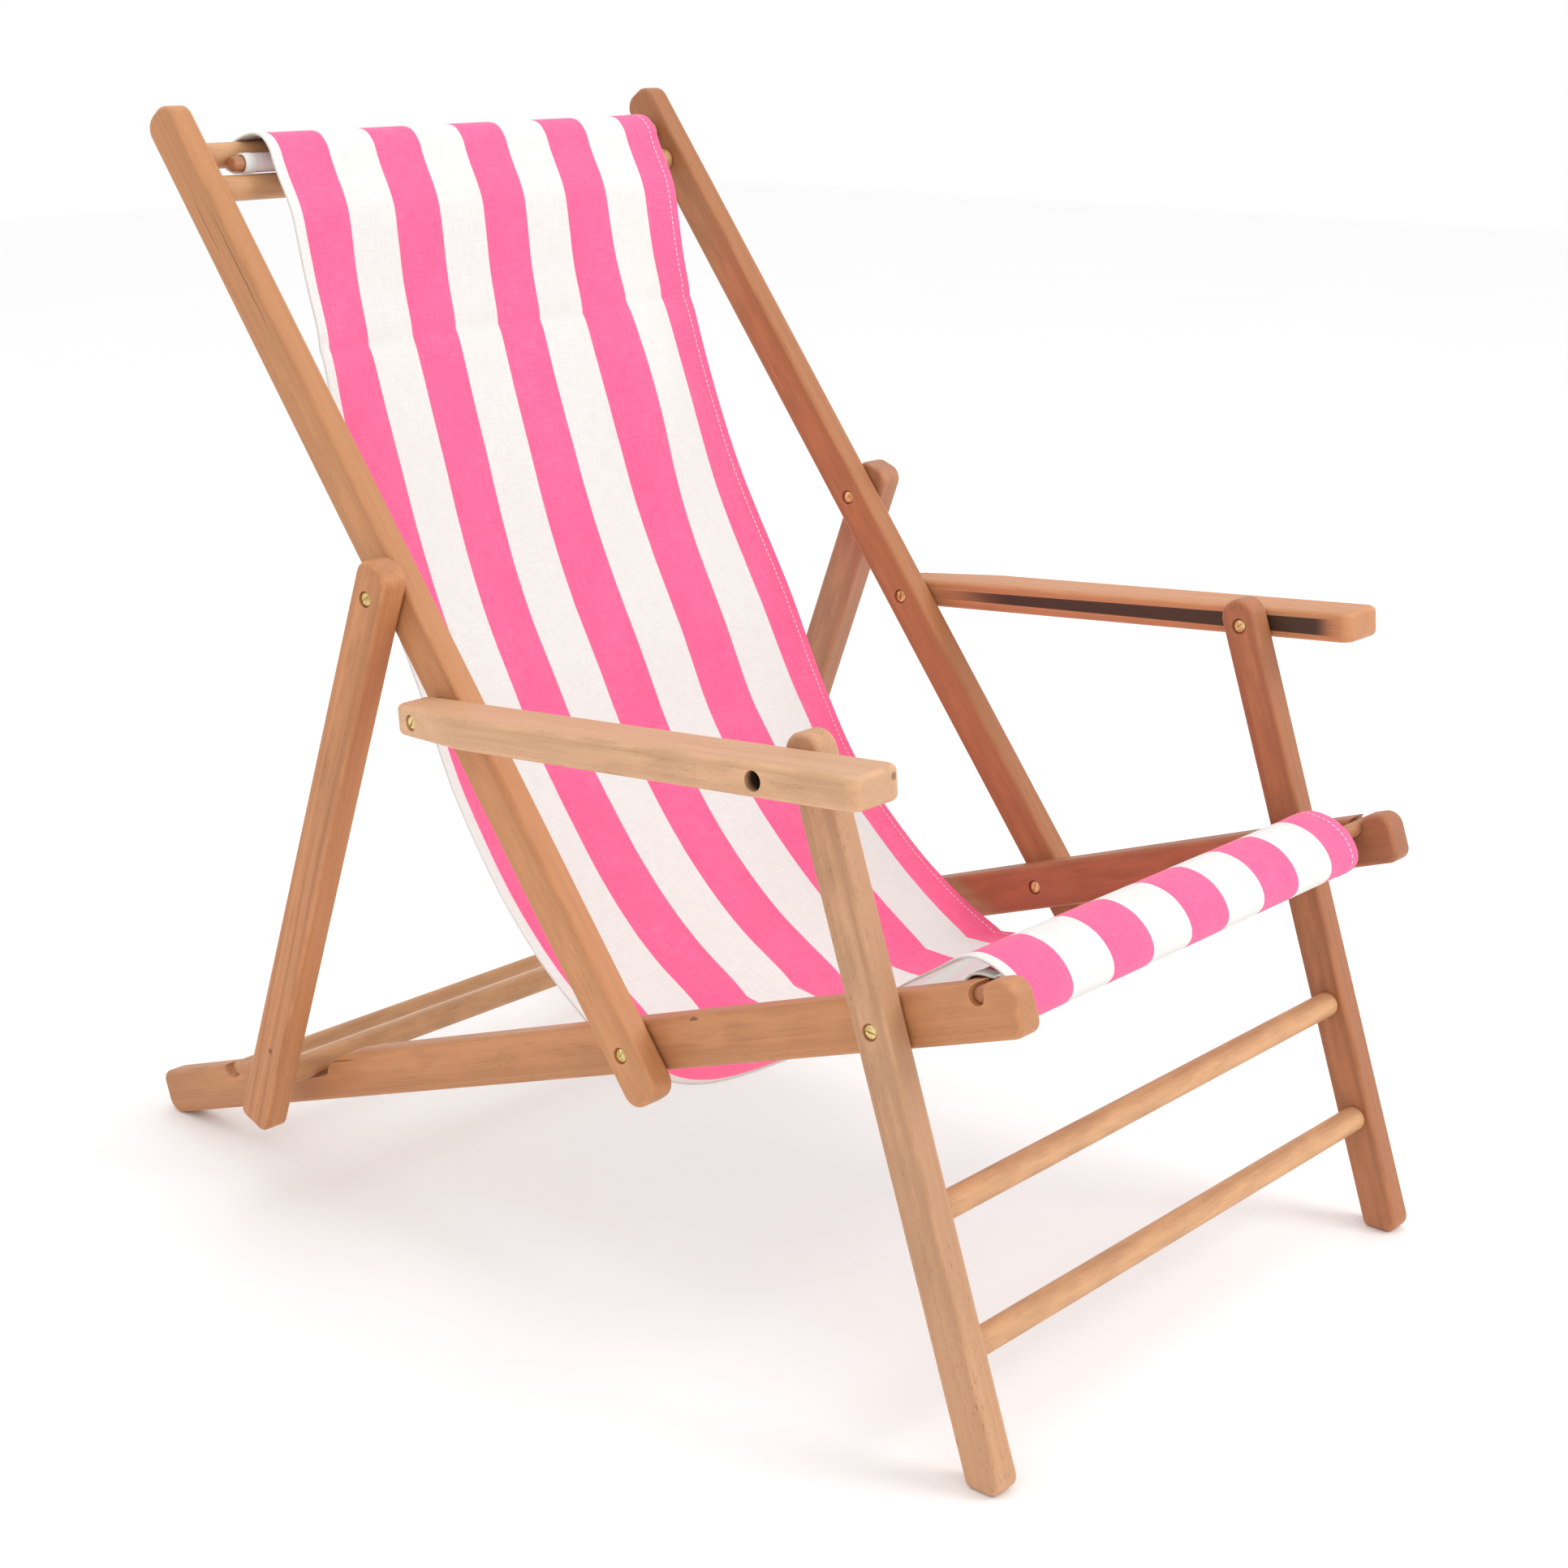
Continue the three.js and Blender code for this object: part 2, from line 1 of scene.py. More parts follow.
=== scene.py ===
"""A folding wooden deck chair with a striped canvas sling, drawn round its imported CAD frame.

The timbers, rods and brass fittings are rebuilt finer in the places of their CAD nodes, and the
canvas is one sheet sewn round two rods. Side-view points are [y, z] in millimetres from the ground
at the middle of the chair; meshes are in metres.
"""

import json
import math

import bmesh
import bpy
import numpy as np
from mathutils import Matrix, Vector


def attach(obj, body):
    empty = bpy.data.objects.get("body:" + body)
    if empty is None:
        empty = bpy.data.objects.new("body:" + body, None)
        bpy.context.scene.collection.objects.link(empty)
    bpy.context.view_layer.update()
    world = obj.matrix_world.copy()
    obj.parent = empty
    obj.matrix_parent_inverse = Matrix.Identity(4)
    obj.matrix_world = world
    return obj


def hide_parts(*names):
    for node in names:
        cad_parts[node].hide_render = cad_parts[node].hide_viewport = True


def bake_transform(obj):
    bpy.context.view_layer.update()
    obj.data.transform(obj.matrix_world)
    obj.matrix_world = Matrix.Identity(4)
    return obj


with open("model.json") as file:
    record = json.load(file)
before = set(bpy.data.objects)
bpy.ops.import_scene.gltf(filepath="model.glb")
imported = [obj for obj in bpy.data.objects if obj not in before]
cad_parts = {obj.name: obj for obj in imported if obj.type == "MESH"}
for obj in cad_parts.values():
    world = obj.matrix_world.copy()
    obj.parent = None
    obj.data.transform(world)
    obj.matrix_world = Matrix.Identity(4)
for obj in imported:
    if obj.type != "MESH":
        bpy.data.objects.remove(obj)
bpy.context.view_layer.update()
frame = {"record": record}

MM = 0.001

# ---------- Camera ----------
camera = bpy.data.objects.new("camera", bpy.data.cameras.new("camera"))
bpy.context.scene.collection.objects.link(camera)
bpy.context.scene.camera = camera
camera.data.sensor_width = 36
camera.data.lens = 60.8
camera.data.clip_start = 0.05
camera.location = (-1.5217, -1.3947, 0.9587)
VIEW_TARGET = Vector((-0.0220, -0.0630, 0.3582))
camera.rotation_euler = (VIEW_TARGET - camera.location).to_track_quat("-Z", "Y").to_euler()

# ---------- Dimensions, as in the CAD ----------
PLAY = 0.3  # the gap between a part and the hole or seat that holds it
RAIL_INNER_X = 228
RAIL_HALF, RAIL_FOOT_R = 19.5, 14
TIMBER = 22
BRACE_TIMBER = 24
LAYER_GAP = 1.5
POST_INNER_X = RAIL_INNER_X + TIMBER + LAYER_GAP
OUTER_LAYER_X = POST_INNER_X + TIMBER + LAYER_GAP
EDGE_ROUNDING, ARM_ROUNDING = 4, 5
RAIL_SLOPE, POST_SLOPE, LEG_SLOPE, BRACE_SLOPE = -19.1, 52.8, 71.3, 110.7
SEAT_PIVOT = (-127.9, 222.4)
BOLT_HOLE_R = 4.3
COUNTERBORE_R, COUNTERBORE_DEPTH = 6.3, 2.6
ARM_HOLE_R, ARM_HOLE_DEPTH = 7, 26
ARM_WIDTH, ARM_THICK = 48, 24
ARM_SCREW_SEAT = 33.5
TENON = 15
DOWEL_TENON, FRONT_BAR_TENON, BRACE_BAR_TENON = 13, 15, 14
POST_HALF, BRACE_HALF, LEG_HALF = 17, 16.5, 15.25


def along(degrees):
    return math.cos(math.radians(degrees)), math.sin(math.radians(degrees))


def step(point, degrees, distance, offset=0.0):
    """The point at a distance along a slope and an offset square to it."""
    c, s = along(degrees)
    return point[0] + c * distance - s * offset, point[1] + s * distance + c * offset


BRACE_PIVOT = step(SEAT_PIVOT, POST_SLOPE, 384.7)
ARM_PIVOT = step(SEAT_PIVOT, POST_SLOPE, 283.4)
LEG_PIVOT = step(SEAT_PIVOT, RAIL_SLOPE, -247)
ARM_LEG_PIVOT = step(LEG_PIVOT, LEG_SLOPE, 181.6)
BRACE_BAR = step(BRACE_PIVOT, BRACE_SLOPE, -460)
ARM_SLOPE = math.degrees(math.atan2(ARM_PIVOT[1] - ARM_LEG_PIVOT[1], ARM_PIVOT[0] - ARM_LEG_PIVOT[0]))
# The rail's lower rear corner, rounded at RAIL_FOOT_R, just touches the ground.
RAIL_FOOT = SEAT_PIVOT[1] - (RAIL_HALF - RAIL_FOOT_R) * along(RAIL_SLOPE)[0] - RAIL_FOOT_R
RAIL_FRONT = -355
RAIL_REAR = RAIL_FOOT / -along(RAIL_SLOPE)[1] + RAIL_FOOT_R
LEG_BELOW = LEG_PIVOT[1] / along(LEG_SLOPE)[1]


def on_rail(distance, offset=0.0):
    return step(SEAT_PIVOT, RAIL_SLOPE, distance, offset)


def on_post(distance, offset=0.0):
    return step(SEAT_PIVOT, POST_SLOPE, distance, offset)


FRONT_BAR = on_rail(-304, 6.5)
SEAT_ROD_AT = (-324.4, 11.4)
SEAT_ROD = on_rail(*SEAT_ROD_AT)
STRETCHER_AT, STRETCHER_D, STRETCHER_SEAT_R = 523.7, 13, 12
REAR_STRETCHER = on_rail(STRETCHER_AT, RAIL_HALF - STRETCHER_SEAT_R + STRETCHER_D / 2 + PLAY)
UPPER_DOWEL_AT, LOWER_DOWEL_AT, DOWEL_SET_BACK = 773, 743, -4
UPPER_DOWEL = on_post(UPPER_DOWEL_AT, DOWEL_SET_BACK)
LOWER_DOWEL = on_post(LOWER_DOWEL_AT, DOWEL_SET_BACK)
# The head rod is drawn against both head dowels and stands level with the gap between them.
HEAD_ROD_AT = (UPPER_DOWEL_AT + LOWER_DOWEL_AT) / 2
HEAD_ROD_FROM_DOWEL = 18.35
HEAD_ROD = on_post(HEAD_ROD_AT, DOWEL_SET_BACK + math.sqrt(
    HEAD_ROD_FROM_DOWEL ** 2 - (UPPER_DOWEL_AT - HEAD_ROD_AT) ** 2))
ROD_D, HEAD_DOWEL_D, RUNG_D = 11.5, 20, 20


# ---------- Materials ----------
def srgb(r, g, b):
    """An 8-bit screen colour as linear RGBA."""
    def linear(c):
        c /= 255
        return c / 12.92 if c <= 0.04045 else ((c + 0.055) / 1.055) ** 2.4
    return (linear(r), linear(g), linear(b), 1.0)


class Nodes:
    """Short calls for building one material's node tree."""

    def __init__(self, name):
        self.material = bpy.data.materials.new(name)
        self.material.use_nodes = True
        self.tree = self.material.node_tree
        self.tree.nodes.clear()
        self.shader = self.tree.nodes.new("ShaderNodeBsdfPrincipled")
        output = self.tree.nodes.new("ShaderNodeOutputMaterial")
        self.tree.links.new(self.shader.outputs[0], output.inputs[0])

    def put(self, socket, value):
        if isinstance(value, bpy.types.NodeSocket):
            self.tree.links.new(value, socket)
        else:
            socket.default_value = value

    def math(self, operation, a, b=0.0, c=0.0, clamp=False):
        node = self.tree.nodes.new("ShaderNodeMath")
        node.operation = operation
        node.use_clamp = clamp
        for socket, value in zip(node.inputs, (a, b, c)):
            self.put(socket, value)
        return node.outputs[0]

    def combine(self, x, y, z):
        node = self.tree.nodes.new("ShaderNodeCombineXYZ")
        for socket, value in zip(node.inputs, (x, y, z)):
            self.put(socket, value)
        return node.outputs[0]

    def attribute(self, name):
        node = self.tree.nodes.new("ShaderNodeAttribute")
        node.attribute_name = name
        split = self.tree.nodes.new("ShaderNodeSeparateXYZ")
        self.tree.links.new(node.outputs["Vector"], split.inputs[0])
        return split.outputs

    def noise(self, vector, scale=1.0, detail=2.0, roughness=0.5, distortion=0.0):
        node = self.tree.nodes.new("ShaderNodeTexNoise")
        self.put(node.inputs["Vector"], vector)
        node.inputs["Scale"].default_value = scale
        node.inputs["Detail"].default_value = detail
        node.inputs["Roughness"].default_value = roughness
        node.inputs["Distortion"].default_value = distortion
        return node.outputs["Fac"]

    def span(self, value, low, high, to_low=0.0, to_high=1.0, smooth=True):
        """Maps low..high onto to_low..to_high, held at both ends."""
        node = self.tree.nodes.new("ShaderNodeMapRange")
        node.interpolation_type = "SMOOTHSTEP" if smooth else "LINEAR"
        for socket, v in zip(node.inputs, (value, low, high, to_low, to_high)):
            self.put(socket, v)
        return node.outputs[0]

    def mix(self, factor, a, b, blend="MIX"):
        node = self.tree.nodes.new("ShaderNodeMix")
        node.data_type = "RGBA"
        node.blend_type = blend
        self.put(node.inputs[0], factor)
        self.put(node.inputs[6], a)
        self.put(node.inputs[7], b)
        return node.outputs[2]

    def bump(self, height, distance, strength=1.0, normal=None):
        node = self.tree.nodes.new("ShaderNodeBump")
        node.inputs["Strength"].default_value = strength
        node.inputs["Distance"].default_value = distance
        self.put(node.inputs["Height"], height)
        if normal is not None:
            self.put(node.inputs["Normal"], normal)
        return node.outputs[0]


PORE_TONE = srgb(128, 74, 42)


def tint(tone, factor):
    """An 8-bit colour made lighter or darker."""
    return srgb(*(min(255, c * factor) for c in tone))


def wood(name, mean, seed, rings=1.0, pores=1.0, marks=()):
    """Oiled hardwood of one mean tone, its grain along the first of the piece's grain coordinates.

    Each mark is a knot or a fissure: the middle of a dark ellipsoid, then its half sizes, in metres.
    """
    n = Nodes(name)
    pale, deep, highlight, worn = (tint(mean, factor) for factor in (1.045, 0.955, 1.2, 1.16))
    streak = srgb(mean[0] * 0.82, mean[1] * 0.72, mean[2] * 0.64)
    knot = srgb(mean[0] * 0.55, mean[1] * 0.42, mean[2] * 0.34)
    length, across, depth = n.attribute("grain")
    dark = 0.0
    for middle, half in marks:
        wobble = n.math("SUBTRACT", n.noise(n.combine(length, 0, 0), scale=90), 0.5)
        bent = n.math("ADD", across, n.math("MULTIPLY", wobble, half[1] * 3))
        parts = [n.math("POWER", n.math("DIVIDE", n.math("SUBTRACT", place, c), h), 2.0)
                 for place, c, h in zip((length, bent, depth), middle, half)]
        near = n.span(n.math("ADD", n.math("ADD", parts[0], parts[1]), parts[2]), 1.3, 0.3)
        dark = n.math("MAXIMUM", dark, near)
    # Each piece is cut from its own place in the tree.
    length = n.math("ADD", length, seed * 1.37)
    across = n.math("ADD", across, seed * 0.213)
    depth = n.math("ADD", depth, seed * 0.117)

    def field(a, b, c):
        return n.combine(n.math("MULTIPLY", length, a), n.math("MULTIPLY", across, b),
                         n.math("MULTIPLY", depth, c))

    # Growth rings, where the cut happens to show them.
    drift = n.noise(field(1.6, 14, 14), detail=2)
    slant = n.math("ADD", across, n.math("MULTIPLY", depth, 0.55))
    phase = n.math("ADD", n.math("MULTIPLY", slant, 520), n.math("MULTIPLY", drift, 26))
    ring = n.math("POWER", n.math("MULTIPLY_ADD", n.math("SINE", phase), 0.5, 0.5), 3.0)
    where = n.span(n.noise(field(1.1, 12, 12), detail=1), 0.46, 0.66)
    figure = n.math("MULTIPLY", n.math("MULTIPLY", ring, where), rings)
    # Grain, from single fibres to slow changes of colour, and short open pores.
    fibre = n.noise(field(13, 1300, 1300), detail=3, roughness=0.6)
    streaks = n.noise(field(2.0, 330, 330), detail=4, roughness=0.62)
    bands = n.noise(field(0.8, 110, 110), detail=2)
    cloud = n.noise(field(1.9, 7, 7), detail=1)
    pore = n.span(n.noise(field(150, 1500, 1500), detail=1), 0.66, 0.72)
    patch = n.span(n.noise(field(5, 80, 80), detail=1), 0.4, 0.62, 0.15, 1.0)
    pore = n.math("MULTIPLY", n.math("MULTIPLY", pore, patch), pores)

    tone = n.mix(n.span(cloud, 0.32, 0.68), pale, deep)
    tone = n.mix(n.span(bands, 0.44, 0.7, 0, 0.12 + 0.14 * rings), tone, streak)
    tone = n.mix(n.span(streaks, 0.47, 0.78, 0, 0.2 + 0.2 * rings), tone, streak)
    tone = n.mix(n.math("MULTIPLY", figure, 0.34), tone, streak)
    tone = n.mix(n.span(fibre, 0.35, 0.7, 0.0, 0.14, smooth=False), tone, streak)
    tone = n.mix(n.span(fibre, 0.60, 0.40, 0.0, 0.10, smooth=False), tone, highlight)
    tone = n.mix(n.math("MULTIPLY", pore, 0.34), tone, PORE_TONE)
    # End grain soaks up more oil, and sanded corners are paler.
    end, edge, painted_shade = n.attribute("wear_and_shade")
    rays = n.combine(n.math("MULTIPLY", across, 1100), n.math("MULTIPLY", depth, 1100), 0)
    end_tone = n.mix(n.span(n.noise(rays, detail=2), 0.4, 0.62), tint(mean, 1.0), tint(mean, 0.84))
    tone = n.mix(n.math("MULTIPLY", end, 0.5), tone, end_tone)
    edge = n.math("MULTIPLY", edge, n.span(n.noise(field(24, 90, 90), detail=3), 0.34, 0.66))
    tone = n.mix(n.math("MULTIPLY", edge, 0.5), tone, worn)
    # Painted shade: the unlit inside of a deep hole is darkened nearly to black-brown.
    tone = n.mix(n.span(painted_shade, 0.0, 0.3, 0.0, 0.95), tone, tint(mean, 0.26))
    tone = n.mix(n.math("MULTIPLY", dark, 0.7), tone, knot)
    n.put(n.shader.inputs["Base Color"], tone)
    gloss = n.span(fibre, 0.3, 0.7, 0.44, 0.56)
    n.put(n.shader.inputs["Roughness"], n.math("ADD", gloss, n.math("MULTIPLY", pore, 0.2)))
    n.shader.inputs["Specular IOR Level"].default_value = 0.42
    relief = n.math("SUBTRACT", n.math("MULTIPLY", fibre, 0.5), pore)
    relief = n.math("SUBTRACT", relief, n.math("MULTIPLY", figure, 0.35))
    coarse = n.bump(n.noise(field(5, 60, 60), detail=2), 0.0009, 0.25)
    n.put(n.shader.inputs["Normal"], n.bump(relief, 0.00016, 0.6, coarse))
    return n.material


# Mean tone, seed, strength of the ring figure and of the pores, and any knots or fissures.
# The left pieces stand on the far side, and their tones, darker than the right pieces', are painted shade,
# deepest on the left rail under the sling.
LOOKS = {
    "post_right": ((186, 130, 86), 1.0, 0.5, 1.0, (
        ((0.665, 0.009, -0.022), (0.06, 0.0007, 0.004)),
        ((0.71, -0.003, -0.022), (0.03, 0.0006, 0.004)))),
    "post_left": ((166, 110, 71), 2.0, 0.6),
    "rail_right": ((182, 126, 84), 3.0, 0.6, 1.0, (
        ((0.368, 0.0125, -0.022), (0.022, 0.0007, 0.004)),
        ((-0.06, 0.016, -0.022), (0.005, 0.0016, 0.004)))),
    "rail_left": ((160, 101, 69), 4.0, 0.4),
    "brace_right": ((190, 131, 87), 5.0, 1.6, 1.0, (
        ((-0.425, 0.004, -0.024), (0.003, 0.0024, 0.004)),)),
    "brace_left": ((172, 120, 88), 12.0, 0.8),
    "leg_right": ((192, 146, 110), 6.0, 0.2, 2.2),
    "leg_left": ((170, 110, 73), 7.0, 1.4),
    "arm_right": ((205, 161, 124), 8.0, 0.25, 1.2, (
        ((-0.433, 0.005, -0.010), (0.004, 0.0030, 0.0032)),)),
    "arm_left": ((188, 131, 89), 9.0, 0.4),
    "bars": ((194, 147, 105), 10.0, 0.5),
    # bars_dark is the bars' wood darkened with painted shade, for the front crossbar and the sling rods
    # that the canvas wraps.
    "bars_dark": ((175, 118, 82), 11.0, 0.5),
}
WOODS = {piece: wood("wood_" + piece, *look) for piece, look in LOOKS.items()}


def brass():
    n = Nodes("brass")
    place = n.combine(*n.attribute("grain"))
    turned = n.noise(place, scale=420, detail=3)
    blotch = n.noise(place, scale=160, detail=2)
    tone = n.mix(n.span(blotch, 0.35, 0.68), srgb(238, 218, 160), srgb(188, 158, 92))
    n.put(n.shader.inputs["Base Color"], n.mix(n.span(turned, 0.55, 0.8, 0, 0.5), tone, srgb(120, 92, 48)))
    n.shader.inputs["Metallic"].default_value = 1.0
    n.put(n.shader.inputs["Roughness"], n.span(turned, 0.3, 0.75, 0.24, 0.46))
    n.put(n.shader.inputs["Normal"], n.bump(turned, 0.00008, 0.5))
    return n.material


BRASS = brass()


# ---------- Mesh tools ----------
TIMBER_ANGLE, BRASS_ANGLE, CLOTH_ANGLE = 32, 28, 60
WELD = 1e-7


def new_object(name, verts, faces, material, smooth_angle=TIMBER_ANGLE):
    mesh = bpy.data.meshes.new(name)
    mesh.from_pydata([tuple(c * MM for c in v) for v in verts], [], faces)
    mesh.update()
    obj = bpy.data.objects.new(name, mesh)
    bpy.context.scene.collection.objects.link(obj)
    if material is not None:
        mesh.materials.append(material)
        finish_normals(obj, smooth_angle)
    return obj


def outward(mesh, weld=False):
    """Turns every face outward, after joining points that lie together if weld is set."""
    b = bmesh.new()
    b.from_mesh(mesh)
    if weld:
        bmesh.ops.remove_doubles(b, verts=b.verts, dist=WELD)
    bmesh.ops.recalc_face_normals(b, faces=b.faces)
    b.to_mesh(mesh)
    b.free()


def finish_normals(obj, angle, weld=False):
    """Outward faces, smooth except where two faces meet at more than the angle."""
    outward(obj.data, weld)
    obj.data.shade_smooth()
    obj.data.set_sharp_from_angle(angle=math.radians(angle))


def rounded_outline(corners, per_quarter=8):
    """Points and outward normals of a closed anticlockwise outline of corners (x, y, radius)."""
    out = []
    count = len(corners)
    for i, (x, y, radius) in enumerate(corners):
        here = Vector((x, y))
        into = (here - Vector(corners[i - 1][:2])).normalized()
        away = (Vector(corners[(i + 1) % count][:2]) - here).normalized()
        side = 1 if into.cross(away) > 0 else -1
        angle = math.acos(max(-1, min(1, into.dot(away))))
        start = here - into * radius * math.tan(angle / 2)
        centre = start + Vector((-into.y, into.x)) * side * radius
        first = math.atan2(start.y - centre.y, start.x - centre.x)
        steps = max(1, round(per_quarter * angle / (math.pi / 2))) if radius > 0 else 0
        for k in range(steps + 1):
            a = first + side * angle * k / max(1, steps)
            spoke = Vector((math.cos(a), math.sin(a)))
            point = centre + spoke * radius if radius > 0 else here
            out.append((point, spoke * side if radius > 0 else Vector((into.y, -into.x))))
    return out


def prism(outline, depth):
    """A plate with its outline in x and y, its depth in z and sharp edges."""
    count = len(outline)
    verts = [(p.x, p.y, z) for z in (0, depth) for p, _ in outline]
    faces = [tuple(reversed(range(count))), tuple(range(count, 2 * count))]
    faces += [(i, (i + 1) % count, count + (i + 1) % count, count + i) for i in range(count)]
    return verts, faces


def slab(outline, depth, rounding, segments=5):
    """A plate with its outline in x and y, its depth in z and its long edges rounded over."""
    rings = []
    for k in range(segments + 1):
        a = math.pi / 2 * k / segments
        rings.append((rounding * (1 - math.sin(a)), rounding * (1 - math.cos(a))))
    rings += [(inset, depth - z) for inset, z in reversed(rings)]
    verts = [(p.x - n.x * inset, p.y - n.y * inset, z) for inset, z in rings for p, n in outline]
    count = len(outline)
    faces = [tuple(reversed(range(count))), tuple(range(len(verts) - count, len(verts)))]
    for r in range(len(rings) - 1):
        for i in range(count):
            j = (i + 1) % count
            faces.append((r * count + i, r * count + j, (r + 1) * count + j, (r + 1) * count + i))
    return verts, faces


def lathe(profile, point, segments=48):
    """A solid turned about X at [y, z]; profile points are (x, radius), the ends on the axis."""
    verts, faces, rows = [], [], []
    for x, r in profile:
        if r == 0:
            rows.append([len(verts)])
            verts.append((x, point[0], point[1]))
            continue
        rows.append([len(verts) + k for k in range(segments)])
        verts += [(x, point[0] + r * math.cos(2 * math.pi * k / segments),
                   point[1] + r * math.sin(2 * math.pi * k / segments)) for k in range(segments)]
    for a, b in zip(rows, rows[1:]):
        for k in range(segments):
            j = (k + 1) % segments
            if len(a) == 1 and len(b) > 1:
                faces.append((a[0], b[j], b[k]))
            elif len(b) == 1 and len(a) > 1:
                faces.append((a[k], a[j], b[0]))
            elif len(a) > 1:
                faces.append((a[k], a[j], b[j], b[k]))
    return verts, faces


def to_side(verts, x0, origin, slope, mirror):
    """Side-view verts (along, above, depth) placed on one side of the chair."""
    side = -1 if mirror else 1
    return [(side * (x0 + d), *step(origin, slope, u, v)) for u, v, d in verts]


def subtract(obj, cutters):
    """Cuts every solid in cutters, a list of (verts, faces), out of obj."""
    verts, faces = [], []
    for v, f in cutters:
        faces += [tuple(i + len(verts) for i in face) for face in f]
        verts += v
    tool = new_object(obj.name + "_tool", verts, faces, None)
    outward(tool.data)
    modifier = obj.modifiers.new("cut", "BOOLEAN")
    modifier.operation = "DIFFERENCE"
    modifier.solver = "EXACT"
    modifier.object = tool
    bpy.context.view_layer.update()
    made = bpy.data.meshes.new_from_object(obj.evaluated_get(bpy.context.evaluated_depsgraph_get()))
    obj.modifiers.clear()
    obj.data = made
    bpy.data.objects.remove(tool)


BODY_OF = {n: body for body, nodes in frame["record"]["behaviour"]["bodies"].items() for n in nodes}


def stand_for(obj, node):
    """obj is shown in place of a CAD node, on that node's body."""
    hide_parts(node)
    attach(obj, BODY_OF[node])


def point_vectors(obj, name, rows):
    attribute = obj.data.attributes.get(name) or obj.data.attributes.new(name, "FLOAT_VECTOR", "POINT")
    attribute.data.foreach_set("vector", np.asarray(rows, np.float32).ravel())


def mesh_arrays(obj):
    count = len(obj.data.vertices)
    co, normal = np.zeros(count * 3, np.float32), np.zeros(count * 3, np.float32)
    obj.data.vertices.foreach_get("co", co)
    obj.data.vertices.foreach_get("normal", normal)
    return co.reshape(-1, 3), normal.reshape(-1, 3)


def ease(values, low, high):
    t = np.clip((values - low) / (high - low), 0, 1)
    return t * t * (3 - 2 * t)


def grain_along(obj, axis, origin, square=True):
    """Stores where each point is in the timber, and how much it is end grain or a worn edge."""
    co, normal = mesh_arrays(obj)
    a = np.array(axis)
    up = np.array((0, -a[2], a[1])) if abs(a[0]) < 0.5 else np.array((0, 1, 0))
    out = np.cross(a, up)
    offset = co - np.array(origin)
    point_vectors(obj, "grain", np.stack([offset @ a, offset @ up, offset @ out], 1))
    end = ease(np.abs(normal @ a), 0.55, 0.95)
    side = (normal @ out) ** 2
    edge = np.clip(4 * side * (1 - side), 0, 1) if square else ease(np.abs(normal @ a), 0.15, 0.6)
    edge = np.clip(edge + 4 * (normal @ a) ** 2 * (1 - (normal @ a) ** 2) * 0.8, 0, 1)
    point_vectors(obj, "wear_and_shade", np.stack([end, edge, np.zeros_like(end)], 1))


# ---------- Timbers ----------
def bore(point, x0, x1, inner_depth=0.0, outer_depth=0.0, outer_r=COUNTERBORE_R):
    """A bolt hole right through from x0 to x1, counterbored at either end."""
    profile = [(x0 - 1, 0)]
    if inner_depth:
        profile += [(x0 - 1, COUNTERBORE_R), (x0 + inner_depth, COUNTERBORE_R)]
        profile += [(x0 + inner_depth, BOLT_HOLE_R)]
    else:
        profile += [(x0 - 1, BOLT_HOLE_R)]
    if outer_depth:
        profile += [(x1 - outer_depth, BOLT_HOLE_R), (x1 - outer_depth, outer_r), (x1 + 1, outer_r)]
    else:
        profile += [(x1 + 1, BOLT_HOLE_R)]
    return lathe(profile + [(x1 + 1, 0)], point, 40)


def mortise(point, x0, diameter):
    """The blind hole for a tenon, from the inner face of a timber at x0."""
    radius, bottom = diameter / 2 + PLAY, x0 + TENON + PLAY
    return lathe([(x0 - 1, 0), (x0 - 1, radius), (bottom, radius), (bottom, 0)], point, 40)


SIDES = (("left", False), ("right", True))


def mirror_x(solid):
    return [(-x, y, z) for x, y, z in solid[0]], solid[1]


def finish_timber(obj, x, origin, slope):
    """Grain along the slope from the pivot at x, and faces that stay flat beside their rounded edges."""
    finish_normals(obj, TIMBER_ANGLE)
    c, s = along(slope)
    grain_along(obj, (0, c, s), (x * MM, origin[0] * MM, origin[1] * MM))
    weighted = obj.modifiers.new("flat_faces", "WEIGHTED_NORMAL")
    weighted.keep_sharp = True


def side_timber(node, corners, depth, x0, origin, slope, material, cutters, second_cut=()):
    """One side member and its mirror image, from an outline in the side view."""
    verts, faces = slab(rounded_outline(corners), depth, EDGE_ROUNDING)
    for side, mirror in SIDES:
        name = f"{node}_{side}"
        placed = to_side(verts, x0, origin, slope, mirror)
        obj = new_object("timber_" + name, placed, faces, WOODS[f"{material}_{side}"])
        for tools in (cutters, second_cut):
            if tools:
                subtract(obj, [mirror_x(t) if mirror else t for t in tools])
        finish_timber(obj, -x0 if mirror else x0, origin, slope)
        stand_for(obj, name)


def rail_plate(corners, per_quarter=8):
    """A cutter through one seat rail, from an outline along the rail."""
    verts, faces = prism(rounded_outline(corners, per_quarter), TIMBER + 2)
    return to_side(verts, RAIL_INNER_X - 1, SEAT_PIVOT, RAIL_SLOPE, False), faces


def round_cut(distance, above, radius, count=40):
    """A round cutter through one seat rail."""
    turns = [2 * math.pi * k / count for k in range(count)]
    return rail_plate([(distance + radius * math.cos(a), above + radius * math.sin(a), 0) for a in turns])


